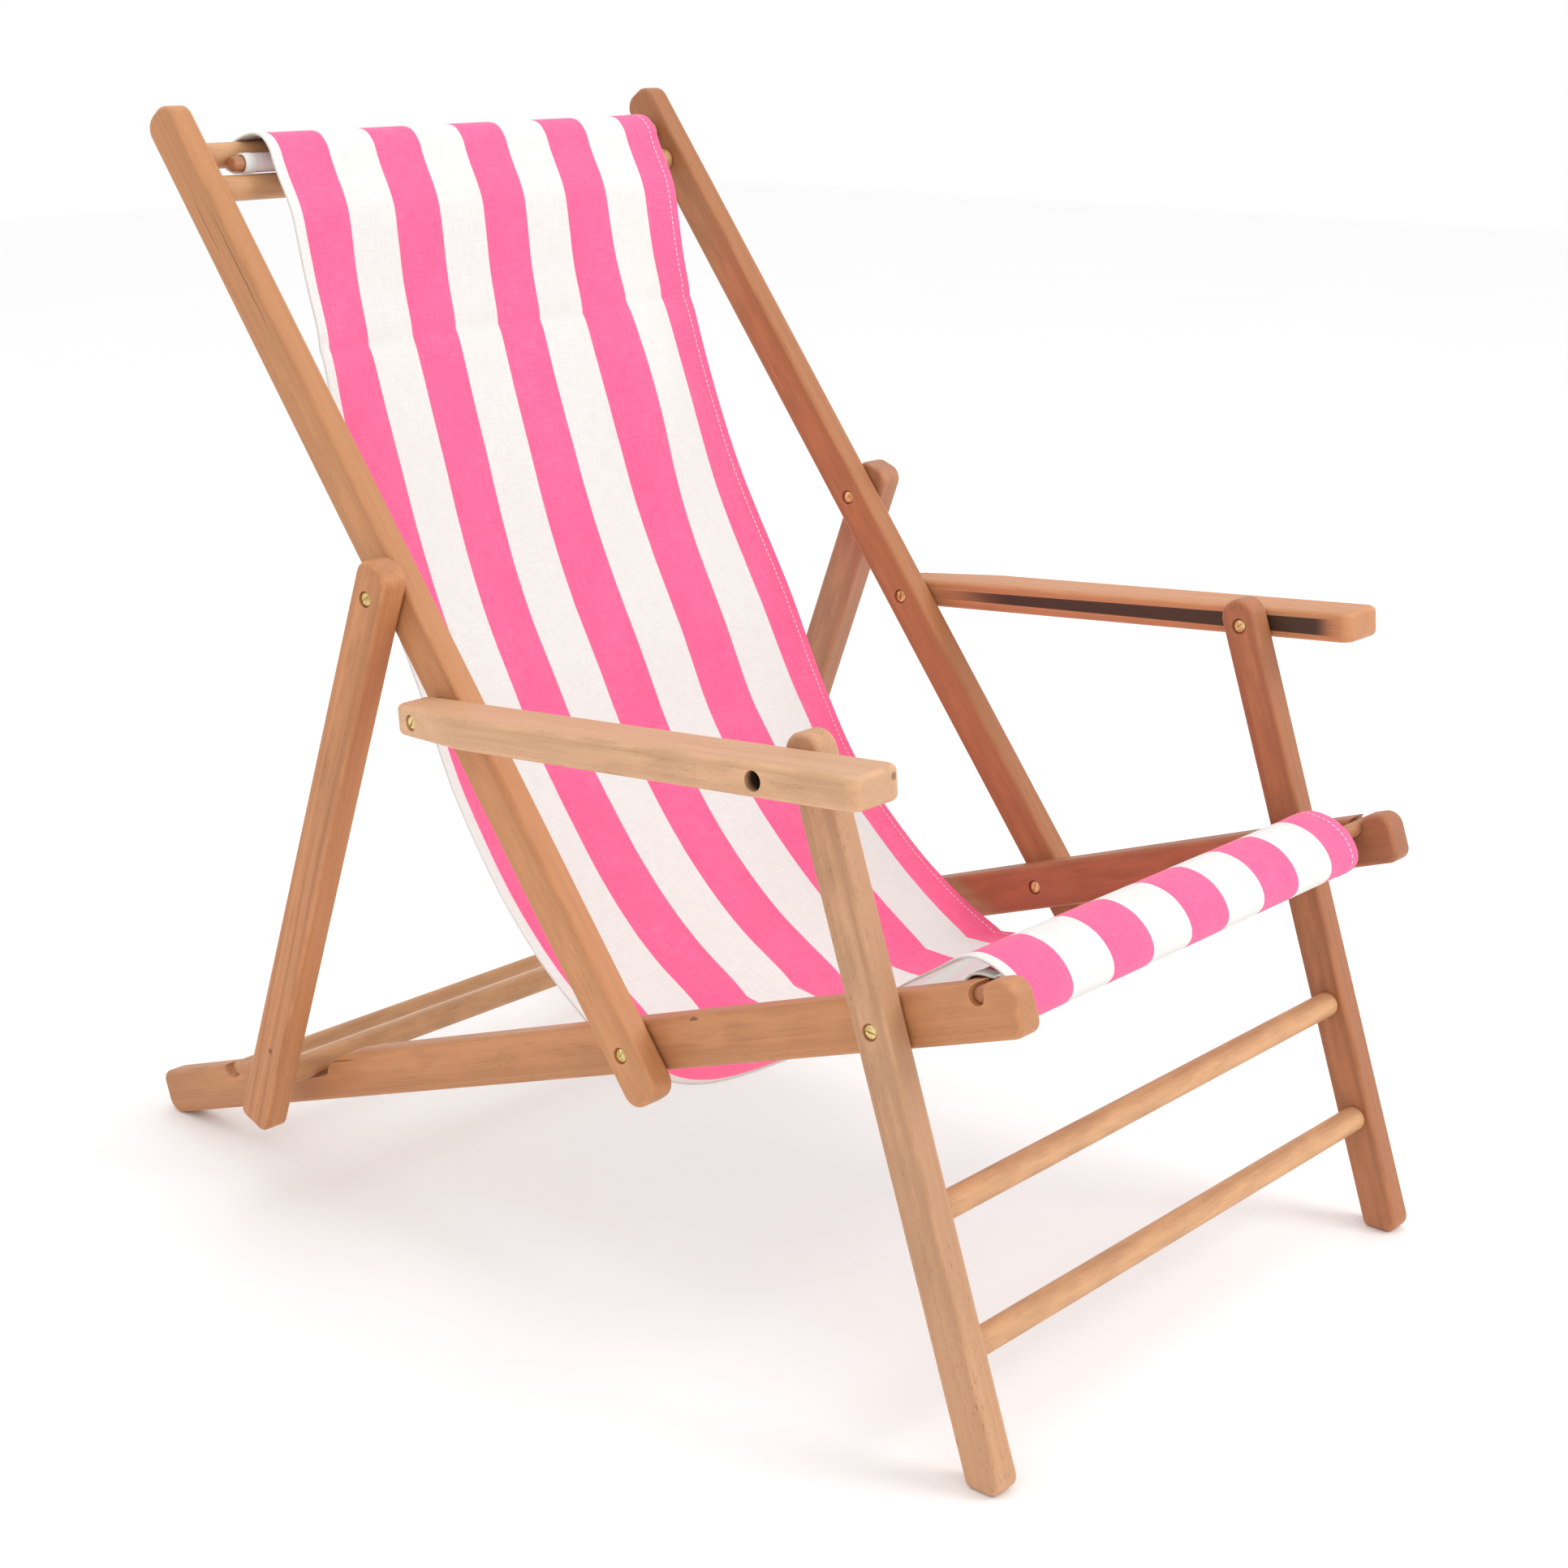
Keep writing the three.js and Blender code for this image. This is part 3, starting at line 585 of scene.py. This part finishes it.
OVER_RAIL = RAIL_HALF + 10
SLOT_HALF = 6.2
SLOT_REAR, SLOT_FRONT = SEAT_ROD_AT[0] + SLOT_HALF, SEAT_ROD_AT[0] - SLOT_HALF
SLOT_FLOOR = SEAT_ROD_AT[1] - SLOT_HALF
rod_slot = rail_plate([
    (SLOT_FRONT, SLOT_FLOOR, 6.1), (SLOT_REAR, SLOT_FLOOR, 6.1), (SLOT_REAR, 16, 5),
    (SLOT_REAR - 17, OVER_RAIL, 0), (SLOT_FRONT - 17, OVER_RAIL, 0),
    (SLOT_FRONT - 2, RAIL_HALF - 1, 5), (SLOT_FRONT, 13, 2)])
bar_notch = rail_plate([
    (391, 1, 6), (418, 1, 20), (494, RAIL_HALF, 8), (504, OVER_RAIL, 0), (312, OVER_RAIL, 0),
    (322, RAIL_HALF, 2), (360, RAIL_HALF - 1.5, 38), (385, 10, 4)], 12)


side_timber(
    "seat_rail",
    [(RAIL_FRONT, -RAIL_HALF, 9), (RAIL_REAR, -RAIL_HALF, RAIL_FOOT_R), (RAIL_REAR, RAIL_HALF, 9),
     (RAIL_FRONT, RAIL_HALF, 12)],
    TIMBER, RAIL_INNER_X, SEAT_PIVOT, RAIL_SLOPE, "rail",
    [rod_slot, bar_notch, mortise(FRONT_BAR, RAIL_INNER_X, FRONT_BAR_TENON),
     bore(SEAT_PIVOT, RAIL_INNER_X, RAIL_INNER_X + TIMBER, COUNTERBORE_DEPTH),
     bore(LEG_PIVOT, RAIL_INNER_X, RAIL_INNER_X + TIMBER, COUNTERBORE_DEPTH)],
    [round_cut(466, 13, 11.5), round_cut(STRETCHER_AT, RAIL_HALF, STRETCHER_SEAT_R)])

POST_OUTER_X = POST_INNER_X + TIMBER
side_timber(
    "back_post",
    [(-40, -POST_HALF, 13), (812, -POST_HALF, 13), (812, POST_HALF, 13), (-40, POST_HALF, 13)],
    TIMBER, POST_INNER_X, SEAT_PIVOT, POST_SLOPE, "post",
    [mortise(UPPER_DOWEL, POST_INNER_X, DOWEL_TENON), mortise(LOWER_DOWEL, POST_INNER_X, DOWEL_TENON),
     bore(SEAT_PIVOT, POST_INNER_X, POST_OUTER_X, 0, COUNTERBORE_DEPTH),
     bore(ARM_PIVOT, POST_INNER_X, POST_OUTER_X, COUNTERBORE_DEPTH),
     bore(BRACE_PIVOT, POST_INNER_X, POST_OUTER_X, COUNTERBORE_DEPTH)])

side_timber(
    "brace_leg",
    [(-504, -BRACE_HALF, 7), (28, -BRACE_HALF, 12), (28, BRACE_HALF, 12), (-504, BRACE_HALF, 7)],
    BRACE_TIMBER, OUTER_LAYER_X, BRACE_PIVOT, BRACE_SLOPE, "brace",
    [mortise(BRACE_BAR, OUTER_LAYER_X, BRACE_BAR_TENON),
     bore(BRACE_PIVOT, OUTER_LAYER_X, OUTER_LAYER_X + BRACE_TIMBER, 0, COUNTERBORE_DEPTH)])

UPPER_RUNG, LOWER_RUNG = step(LEG_PIVOT, LEG_SLOPE, -129.5), step(LEG_PIVOT, LEG_SLOPE, -225)
# The foot is cut level with the ground.
LEG_LEAN = LEG_HALF / math.tan(math.radians(LEG_SLOPE))
side_timber(
    "front_leg",
    [(-LEG_BELOW + LEG_LEAN, -LEG_HALF, 5.5), (203, -LEG_HALF, 14.5), (203, LEG_HALF, 14.5),
     (-LEG_BELOW - LEG_LEAN, LEG_HALF, 10)],
    TIMBER, POST_INNER_X, LEG_PIVOT, LEG_SLOPE, "leg",
    [mortise(UPPER_RUNG, POST_INNER_X, DOWEL_TENON), mortise(LOWER_RUNG, POST_INNER_X, DOWEL_TENON),
     bore(LEG_PIVOT, POST_INNER_X, POST_OUTER_X, 0, COUNTERBORE_DEPTH),
     bore(ARM_LEG_PIVOT, POST_INNER_X, POST_OUTER_X, COUNTERBORE_DEPTH)])


def paint_hole_shade(obj, point, radius, mouth_x):
    """Paints shade into the unlit inside of a deep hole along X, short of its mouth."""
    co, _ = mesh_arrays(obj)
    wear_and_shade = np.zeros(len(co) * 3, np.float32)
    obj.data.attributes["wear_and_shade"].data.foreach_get("vector", wear_and_shade)
    wear_and_shade = wear_and_shade.reshape(-1, 3)
    inside = np.hypot(co[:, 1] - point[0] * MM, co[:, 2] - point[1] * MM) < radius * MM
    wear_and_shade[inside & (np.abs(co[:, 0]) < mouth_x * MM), 2] = 1
    point_vectors(obj, "wear_and_shade", wear_and_shade)


def armrests():
    """Drawn in plan, narrowed on the outside at the rear, and laid along the arm's slope."""
    verts, faces = slab(rounded_outline([
        (-434, 0, 11), (21, 0, 8), (21, 33, 8), (-59, ARM_WIDTH, 12), (-434, ARM_WIDTH, 11)]),
        ARM_THICK, ARM_ROUNDING)
    outer = OUTER_LAYER_X + ARM_WIDTH
    holes = [bore(ARM_PIVOT, OUTER_LAYER_X, outer, 0, ARM_WIDTH - ARM_SCREW_SEAT),
             bore(ARM_LEG_PIVOT, OUTER_LAYER_X, outer, 0, ARM_HOLE_DEPTH, ARM_HOLE_R)]
    for side, mirror in SIDES:
        sign = -1 if mirror else 1
        placed = [(sign * (OUTER_LAYER_X + w), *step(ARM_PIVOT, ARM_SLOPE, u, v - ARM_THICK / 2))
                  for u, w, v in verts]
        obj = new_object("timber_armrest_" + side, placed, faces, WOODS["arm_" + side])
        subtract(obj, [mirror_x(h) if mirror else h for h in holes])
        finish_timber(obj, sign * OUTER_LAYER_X, ARM_PIVOT, ARM_SLOPE)
        paint_hole_shade(obj, ARM_LEG_PIVOT, ARM_HOLE_R + 0.2, outer - 2)
        stand_for(obj, "armrest_" + side)


armrests()


# ---------- Rods and dowels ----------
def cross_piece(node, profile, point, material):
    """A round piece lying across the chair."""
    verts, faces = lathe(profile, point)
    obj = new_object("turned_" + node, verts, faces, WOODS[material])
    grain_along(obj, (1, 0, 0), (0, point[0] * MM, point[1] * MM), square=False)
    stand_for(obj, node)


def dowel(node, inner_x, diameter, tenon, point, material="bars"):
    """A cross member with a shoulder against the timber and a tenon inside it."""
    shoulder, end, r, t = inner_x - PLAY, inner_x + TENON, diameter / 2, tenon / 2
    half = [(end, 0), (end, t - 0.8), (end - 0.8, t), (shoulder, t), (shoulder, r - 0.6),
            (shoulder - 0.6, r)]
    cross_piece(node, half + [(-x, y) for x, y in reversed(half)], point, material)


def rod(node, half_length, diameter, point, material="bars_dark"):
    """A plain rod with its ends softened."""
    r = diameter / 2
    half = [(half_length, 0), (half_length, r - 1.4), (half_length - 0.4, r - 0.6), (half_length - 1.2, r)]
    cross_piece(node, half + [(-x, y) for x, y in reversed(half)], point, material)


dowel("seat_front_crossbar", RAIL_INNER_X, 24, FRONT_BAR_TENON, FRONT_BAR, "bars_dark")
dowel("head_dowel_upper", POST_INNER_X, HEAD_DOWEL_D, DOWEL_TENON, UPPER_DOWEL)
dowel("head_dowel_lower", POST_INNER_X, HEAD_DOWEL_D, DOWEL_TENON, LOWER_DOWEL)
dowel("front_rung_upper", POST_INNER_X, RUNG_D, DOWEL_TENON, UPPER_RUNG)
dowel("front_rung_lower", POST_INNER_X, RUNG_D, DOWEL_TENON, LOWER_RUNG)
dowel("brace_bar", OUTER_LAYER_X, 21, BRACE_BAR_TENON, BRACE_BAR)
rod("seat_rear_stretcher", RAIL_INNER_X + TIMBER - 5, STRETCHER_D, REAR_STRETCHER, "bars")
rod("sling_rod_seat", 246, ROD_D, SEAT_ROD)
rod("sling_rod_head", 232, ROD_D, HEAD_ROD)


# ---------- Brass fittings ----------
HEAD_R, HEAD_THICK, BARREL_R, BORE_R, SHANK_R = 5.3, 1.8, 4.0, 2.8, 2.5
WASHER_R, WASHER_THICK, WASHER_BEVEL = 8.5, 0.9, 0.2
DRIVER_SLOT = (1.05, 0.65, HEAD_R + 1)  # half its depth across the face, its width and its length
SCREW_TURN = 25


def dome(face, seat):
    """A fastener's head from the middle of its face to its underside, slightly crowned."""
    out = 1 if face > seat else -1
    return [(face, 0), (face - 0.05 * out, 2.2), (face - 0.22 * out, 3.8), (face - 0.5 * out, 4.8),
            (face - 0.85 * out, 5.2), (face - 1.1 * out, HEAD_R), (seat, HEAD_R)]


def driver_slot(x, point, turn):
    """The cutter for the slot across a fastener's face at x."""
    deep, wide, long = DRIVER_SLOT
    verts, c, s = [], *along(turn)
    for dx in (-deep, deep):
        for a, b in ((-wide, -long), (wide, -long), (wide, long), (-wide, long)):
            verts.append((x + dx, point[0] + a * c - b * s, point[1] + a * s + b * c))
    sides = [(i, (i + 1) % 4, 4 + (i + 1) % 4, 4 + i) for i in range(4)]
    return verts, [(3, 2, 1, 0), (4, 5, 6, 7)] + sides


def brass_piece(name, solid, slot=None, weld=False):
    """One side's brass part, its driver slot cut if it has one, standing for the node of its name."""
    obj = new_object("brass_" + name, *solid, BRASS)
    if slot:
        subtract(obj, [slot])
    finish_normals(obj, BRASS_ANGLE, weld)
    point_vectors(obj, "grain", mesh_arrays(obj)[0])
    stand_for(obj, name)


def fitting(name, point, inner_seat, outer_seat, join_x, turn, split=False):
    """A sleeve nut, a screw and a washer at one pivot, on both sides of the chair.

    A split fitting's nut and screw each stop short of the join, at the pivot where the linkage is opened.
    """
    inner_face = inner_seat - PLAY - HEAD_THICK
    outer_face = outer_seat + PLAY + HEAD_THICK
    barrel_end = join_x - LAYER_GAP / 2 - PLAY if split else outer_seat - PLAY
    shank_end = join_x + LAYER_GAP / 2 + PLAY if split else inner_seat + 6
    sleeve = dome(inner_face, inner_seat - PLAY) + [
        (inner_seat - PLAY, BARREL_R), (barrel_end, BARREL_R), (barrel_end, BORE_R),
        (inner_seat + 3, BORE_R), (inner_seat + 3, 0)]
    screw = dome(outer_face, outer_seat + PLAY) + [
        (outer_seat + PLAY, SHANK_R), (shank_end, SHANK_R), (shank_end, 0)]
    heads = (("sleeve_nut", sleeve, inner_face, turn), ("screw", screw, outer_face, turn + SCREW_TURN))
    for kind, profile, face, spin in heads:
        solid, slot = lathe(profile, point, 40), driver_slot(face, point, spin)
        for side, mirror in SIDES:
            brass_piece(f"{name}_{kind}_{side}", mirror_x(solid) if mirror else solid,
                        mirror_x(slot) if mirror else slot)
    a, b = join_x - WASHER_THICK / 2, join_x + WASHER_THICK / 2
    ring = lathe([
        (a, BOLT_HOLE_R), (a, WASHER_R - WASHER_BEVEL), (a + WASHER_BEVEL, WASHER_R),
        (b - WASHER_BEVEL, WASHER_R), (b, WASHER_R - WASHER_BEVEL), (b, BOLT_HOLE_R),
        (a, BOLT_HOLE_R)], point, 40)
    for side, mirror in SIDES:
        brass_piece(f"{name}_washer_{side}", mirror_x(ring) if mirror else ring, weld=True)


RAIL_SEAT = RAIL_INNER_X + COUNTERBORE_DEPTH
POST_SEAT = POST_INNER_X + COUNTERBORE_DEPTH
POST_OUTER_SEAT = POST_OUTER_X - COUNTERBORE_DEPTH
ARM_SEAT = OUTER_LAYER_X + ARM_SCREW_SEAT
ARM_HOLE_SEAT = OUTER_LAYER_X + ARM_WIDTH - ARM_HOLE_DEPTH
BRACE_SEAT = OUTER_LAYER_X + BRACE_TIMBER - COUNTERBORE_DEPTH
RAIL_JOIN = RAIL_INNER_X + TIMBER + LAYER_GAP / 2
POST_JOIN = POST_OUTER_X + LAYER_GAP / 2
fitting("back_pivot", SEAT_PIVOT, RAIL_SEAT, POST_OUTER_SEAT, RAIL_JOIN, 10)
fitting("front_leg_pivot", LEG_PIVOT, RAIL_SEAT, POST_OUTER_SEAT, RAIL_JOIN, 70)
fitting("brace_pivot", BRACE_PIVOT, POST_SEAT, BRACE_SEAT, POST_JOIN, 35)
fitting("armrest_rear_pivot", ARM_PIVOT, POST_SEAT, ARM_SEAT, POST_JOIN, 5)
fitting("armrest_front_pivot", ARM_LEG_PIVOT, POST_SEAT, ARM_HOLE_SEAT, POST_JOIN, 50, split=True)


# ---------- Sling ----------
SLING_NEAR, SLING_WIDTH = -210.0, 428.0
HEM_WIDTH, STRIPE = 10.0, 47.4
CANVAS_HALF, HEM_EXTRA_HALF = 0.5, 0.42  # half the cloth's thickness, and what the folded hem adds
CANVAS_LIFT = CANVAS_HALF + 0.8  # from a rod's surface to the middle of the cloth round it
HEM_R = ROD_D / 2 + CANVAS_LIFT
OVER_DOWEL_R = HEAD_DOWEL_D / 2 + CANVAS_LIFT
# The hung part from the upper dowel to the crossbar, as [y, z] from the seat pivot.
HEAD_BEND = (432.5, 620)
SAG = [(463, 628), (452, 630), (441, 628), HEAD_BEND, (427.5, 608.5), (421.5, 596.5), (414.5, 584),
       (408.5, 570), (403.5, 545), (397, 512), (386.5, 478), (335, 338), (269, 217), (234, 131),
       (179, 49), (104, -13), (14, -43), (-94, 1), (-200, 82)]
# The turn round the crossbar to the seat rod, as (along, above) the rail.
ROLL = [(-275, 28), (-292, 32.5), (-305, 33), (-317, 28.3), (-327, 20.4), (-333.4, 10.8), (-336.2, 2),
        (-336.2, -5), (-333, -11.5), (-323, -17), (-306, -18), (-292.5, -11), (-288.5, 2), (-291, 13),
        (-300, 20.4), (-309, 21)]
# Creases across the sheet: [y, z] where each lies, its slant, its height and its width.
CREASES = [(249, 698, -8, -2.8, 7), (-75, 208, 68, -5.0, 13)]
# How the hung sheet swells and sinks: (along, across) where, its reach both ways, and its height.
SWELLS = [(543, 141, 130, 160, -28.5), (798, 372, 120, 81, 20.5), (317, 179, 105, 348, -7.5),
          (814, 73, 108, 64, -6.5), (361, 348, 102, 48, 16), (276, 0, 70, 34, 10), (653, 405, 60, 50, 7)]
# The head hem and the roll lie nearer to the right rail than the back does.
HEAD_DRIFT, HEAD_DRIFT_SPAN = -12, (48, 84)
ROLL_DRIFT, ROLL_DRIFT_SPAN = -14, (-90, 35)
# The print starts this far along the sheet, so the pocket round the head rod is white.
PRINT_SPAN = (54, 60)
FREE_FROM_HEAD, FREE_TO_ROLL = (20, 120), 60
SHEET_ROWS, SHEET_COLUMNS = 420, 66


def arc(centre, slope, radius, first, last, steps):
    return [step(centre, slope + first + (last - first) * i / steps, radius) for i in range(steps + 1)]


def from_pivot(point):
    return SEAT_PIVOT[0] + point[0], SEAT_PIVOT[1] + point[1]


def smooth_line(knots, steps=24):
    """A centripetal Catmull-Rom curve through the knots, as closely spaced points."""
    p = np.array(knots)
    p = np.vstack([2 * p[0] - p[1], p, 2 * p[-1] - p[-2]])
    fine = []
    for a, b, c, d in zip(p, p[1:], p[2:], p[3:]):
        t1 = np.linalg.norm(b - a) ** 0.5
        t2 = t1 + np.linalg.norm(c - b) ** 0.5
        t3 = t2 + np.linalg.norm(d - c) ** 0.5
        t = np.linspace(t1, t2, steps, endpoint=False)[:, None]
        a1 = (t1 - t) / t1 * a + t / t1 * b
        a2 = (t2 - t) / (t2 - t1) * b + (t - t1) / (t2 - t1) * c
        a3 = (t3 - t) / (t3 - t2) * c + (t - t2) / (t3 - t2) * d
        b1 = (t2 - t) / t2 * a1 + t / t2 * a2
        b2 = (t3 - t) / (t3 - t1) * a2 + (t - t1) / (t3 - t1) * a3
        fine.append((t2 - t) / (t2 - t1) * b1 + (t - t1) / (t2 - t1) * b2)
    return np.vstack(fine + [p[-2:-1]])


def sling_line():
    """The sheet's middle line from head hem to seat hem, and how far along it each point is.

    The [y, z] points lie closer together where the line turns.
    """
    knots = arc(HEAD_ROD, POST_SLOPE, HEM_R, -60, 240, 10) + [on_post(HEAD_ROD_AT, -6)]
    knots += arc(UPPER_DOWEL, POST_SLOPE, OVER_DOWEL_R, 215, 378, 8)
    knots += [from_pivot(point) for point in SAG]
    knots += [on_rail(d, o) for d, o in ROLL]
    knots += arc(SEAT_ROD, RAIL_SLOPE, HEM_R, 60, 330, 9)
    fine = smooth_line(knots)
    run = np.concatenate([[0], np.cumsum(np.linalg.norm(np.diff(fine, axis=0), axis=1))])
    turn = np.gradient(np.unwrap(np.arctan2(*np.gradient(fine, axis=0).T)), run)
    weight = np.concatenate([[0], np.cumsum(np.diff(run) * (1 / 6 + np.abs(turn[1:]) * 4))])
    even = np.interp(np.linspace(0, weight[-1], SHEET_ROWS), weight, run)
    return np.stack([np.interp(even, run, fine[:, k]) for k in (0, 1)], 1), even


WARP_PITCH, WEFT_PITCH, STITCH_PITCH, STITCH_INSET = 0.0011, 0.0012, 0.0046, 0.0012


def canvas(name):
    """Printed canvas: stripes on the face, white behind, folded and stitched down both long edges."""
    n = Nodes(name)
    u, s, printed = n.attribute("cloth")
    width, hem, stripe = SLING_WIDTH * MM, HEM_WIDTH * MM, STRIPE * MM

    def field(a, b, c=0.0):
        return n.combine(n.math("MULTIPLY", u, a), n.math("MULTIPLY", s, b), c)

    wander = n.noise(field(30, 30), detail=2)
    shifted = n.math("ADD", u, n.math("MULTIPLY", n.math("SUBTRACT", wander, 0.5), 0.0007))
    wave = n.math("SINE", n.math("MULTIPLY", n.math("SUBTRACT", shifted, hem), math.pi / stripe))
    pink = n.span(wave, -0.012, 0.012, smooth=False)
    edge_line = n.math("SUBTRACT", 1.0, n.span(n.math("ABSOLUTE", wave), 0.015, 0.055))
    warp = n.math("SINE", n.math("MULTIPLY", u, 2 * math.pi / WARP_PITCH))
    weft = n.math("SINE", n.math("MULTIPLY", s, 2 * math.pi / WEFT_PITCH))
    weave = n.math("MULTIPLY", warp, weft)
    slub = n.math("ADD", n.noise(field(60, 900), detail=2), n.noise(field(900, 60, 3.0), detail=2))
    mottle = n.noise(field(25, 14, 7.0), detail=3)

    rose = n.mix(n.span(slub, 0.7, 1.3), srgb(250, 112, 156), srgb(247, 96, 144))
    rose = n.mix(n.span(mottle, 0.35, 0.7, 0, 0.35), rose, srgb(246, 90, 138))
    white = n.mix(n.span(slub, 0.7, 1.3), srgb(228, 228, 225), srgb(219, 219, 216))
    white = n.mix(n.span(mottle, 0.4, 0.7, 0, 0.4), white, srgb(222, 222, 218))
    tone = n.mix(pink, white, rose)
    tone = n.mix(n.math("MULTIPLY", edge_line, 0.20), tone, srgb(168, 120, 140))
    back = n.mix(n.math("MULTIPLY", pink, 0.22), white, srgb(250, 176, 200))
    tone = n.mix(printed, back, tone)
    # Topstitching: short threads in a row just inside each folded edge.
    from_edge = n.math("MINIMUM", u, n.math("SUBTRACT", width, u))
    off_row = n.math("ABSOLUTE", n.math("SUBTRACT", from_edge, hem - STITCH_INSET))
    row = n.math("SUBTRACT", 1.0, n.span(off_row, 0.00035, 0.0006))
    dash = n.span(n.math("SINE", n.math("MULTIPLY", s, 2 * math.pi / STITCH_PITCH)), -0.45, -0.2)
    thread = n.math("MULTIPLY", row, dash)
    tone = n.mix(n.math("MULTIPLY", thread, 0.9), tone, srgb(252, 228, 234))
    n.put(n.shader.inputs["Base Color"], tone)
    n.put(n.shader.inputs["Roughness"], n.span(weave, -1, 1, 0.94, 0.84, smooth=False))
    n.shader.inputs["Specular IOR Level"].default_value = 0.2
    n.shader.inputs["Sheen Weight"].default_value = 0.12
    n.shader.inputs["Sheen Roughness"].default_value = 0.5
    height = n.math("ADD", n.math("MULTIPLY", weave, 0.35), n.math("MULTIPLY", slub, 0.5))
    height = n.math("ADD", height, n.math("MULTIPLY", thread, 1.6))
    height = n.math("SUBTRACT", height, n.math("MULTIPLY", n.math("SUBTRACT", row, thread), 1.2))
    n.put(n.shader.inputs["Normal"], n.bump(height, 0.00018, 0.7))
    return n.material


def run_at(line, run, point):
    """How far along the sheet its line passes nearest to a side-view point."""
    return run[np.argmin(np.linalg.norm(line - np.array(point), axis=1))]


def sheet_rise(u, s, line, run, roll_start):
    """How far each point stands off the sheet's middle line: small waves, swells and creases."""
    head = run_at(line, run, from_pivot(HEAD_BEND))
    free = ease(s, *(head + span for span in FREE_FROM_HEAD))
    free *= 1 - ease(s, roll_start - FREE_TO_ROLL, roll_start)
    middle = 1 - (2 * u / SLING_WIDTH - 1) ** 2
    rise = -1.2 * middle * free
    rise += 0.7 * free * np.sin(s / 61 + u / 90) * np.sin(u / 57 + 0.8)
    for centre_s, centre_u, reach_s, reach_u, height in SWELLS:
        rise += height * np.exp(-((s - centre_s) / reach_s) ** 2 - ((u - centre_u) / reach_u) ** 2)
    for y, z, slant, height, width in CREASES:
        distance = s - run_at(line, run, (y, z)) - slant * (u / SLING_WIDTH - 0.5) - 2 * np.sin(u / 33)
        rise += height * np.exp(-np.abs(distance) / width)
    return rise


def sling():
    """The sheet, two layers of points across its thickness joined round its four edges."""
    line, run = sling_line()
    tangent = np.gradient(line, run, axis=0)
    tangent /= np.linalg.norm(tangent, axis=1)[:, None]
    normal = np.stack([tangent[:, 1], -tangent[:, 0]], 1)
    inner = np.linspace(HEM_WIDTH + 2, SLING_WIDTH - HEM_WIDTH - 2, SHEET_COLUMNS)
    rim = np.array([0, 0.5, 2, 5, 8, HEM_WIDTH - 1.2, HEM_WIDTH - 0.3, HEM_WIDTH + 0.6])
    across = np.concatenate([rim, inner, SLING_WIDTH - rim[::-1]])
    from_edge = np.minimum(across, SLING_WIDTH - across)
    in_hem = 1 - ease(from_edge, HEM_WIDTH - 0.6, HEM_WIDTH + 0.6)
    thick = CANVAS_HALF + HEM_EXTRA_HALF * in_hem
    thick[[0, -1]] = CANVAS_HALF + 0.05

    u, s = np.meshgrid(across, run)
    roll_start = run_at(line, run, on_rail(*ROLL[0]))
    rise = sheet_rise(u, s, line, run, roll_start)
    drift = HEAD_DRIFT * (1 - ease(run, *HEAD_DRIFT_SPAN))
    drift += ROLL_DRIFT * ease(run, *(roll_start + span for span in ROLL_DRIFT_SPAN))
    layers = []
    for sign in (1, -1):
        shift = rise + sign * thick[None, :]
        side_view = [line[:, k:k + 1] + normal[:, k:k + 1] * shift for k in (0, 1)]
        layers.append(np.stack([SLING_NEAR + u + drift[:, None], *side_view], 2).reshape(-1, 3))
    verts = np.vstack(layers).tolist()

    count = u.size
    grid = np.arange(count).reshape(u.shape)
    quads = np.stack([grid[:-1, :-1], grid[:-1, 1:], grid[1:, 1:], grid[1:, :-1]], 2).reshape(-1, 4)
    rim_loop = np.concatenate([grid[0], grid[1:, -1], grid[-1, -2::-1], grid[-2:0:-1, 0]])
    onward = np.roll(rim_loop, -1)
    edges = np.stack([rim_loop, rim_loop + count, onward + count, onward], 1)
    faces = np.vstack([quads, quads[:, ::-1] + count, edges]).tolist()
    obj = new_object("canvas_sling", verts, faces, canvas("canvas"), CLOTH_ANGLE)
    printed = np.concatenate([np.repeat(ease(run, *PRINT_SPAN), u.shape[1]), np.zeros(count)])
    cloth = [np.tile(u.ravel(), 2) * MM, np.tile(s.ravel(), 2) * MM, printed]
    point_vectors(obj, "cloth", np.stack(cloth, 1))
    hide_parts("sling")
    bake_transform(obj)


sling()

# ---------- Floor and light ----------
floor_material = Nodes("floor_paint")
dust = floor_material.noise(floor_material.combine(*floor_material.attribute("position")), 2.0)
floor_material.put(floor_material.shader.inputs["Base Color"],
                   floor_material.mix(dust, srgb(253, 253, 253), srgb(251, 251, 251)))
floor_material.shader.inputs["Roughness"].default_value = 0.8
FLOOR_HALF, FLOOR_DROP = 9000, 0.2
CORNERS = ((-1, -1), (1, -1), (1, 1), (-1, 1))
floor_corners = [(x * FLOOR_HALF, y * FLOOR_HALF, -FLOOR_DROP) for x, y in CORNERS]
floor = new_object("floor", floor_corners, [(0, 1, 2, 3)], floor_material.material)

world = bpy.data.worlds.new("studio")
world.use_nodes = True
world.node_tree.nodes["Background"].inputs[0].default_value = (1.0, 1.0, 1.0, 1.0)
world.node_tree.nodes["Background"].inputs[1].default_value = 1.0
bpy.context.scene.world = world


def softbox(name, position, target, size, power):
    light = bpy.data.lights.new(name, "AREA")
    light.shape = "RECTANGLE"
    light.size, light.size_y = size
    light.energy = power
    obj = bpy.data.objects.new(name, light)
    obj.location = position
    obj.rotation_euler = (Vector(target) - Vector(position)).to_track_quat("-Z", "Y").to_euler()
    bpy.context.scene.collection.objects.link(obj)


softbox("key", (1.3, -2.7, 2.3), (0, 0, 0.4), (1.5, 1.5), 42)
softbox("fill", (-2.6, -1.2, 1.8), (0, 0, 0.4), (2.0, 2.0), 2)
softbox("top", (0.2, 0.6, 3.0), (0, 0, 0.3), (2.4, 2.4), 14)
bpy.context.scene.view_settings.view_transform = "Standard"

bpy.context.view_layer.update()
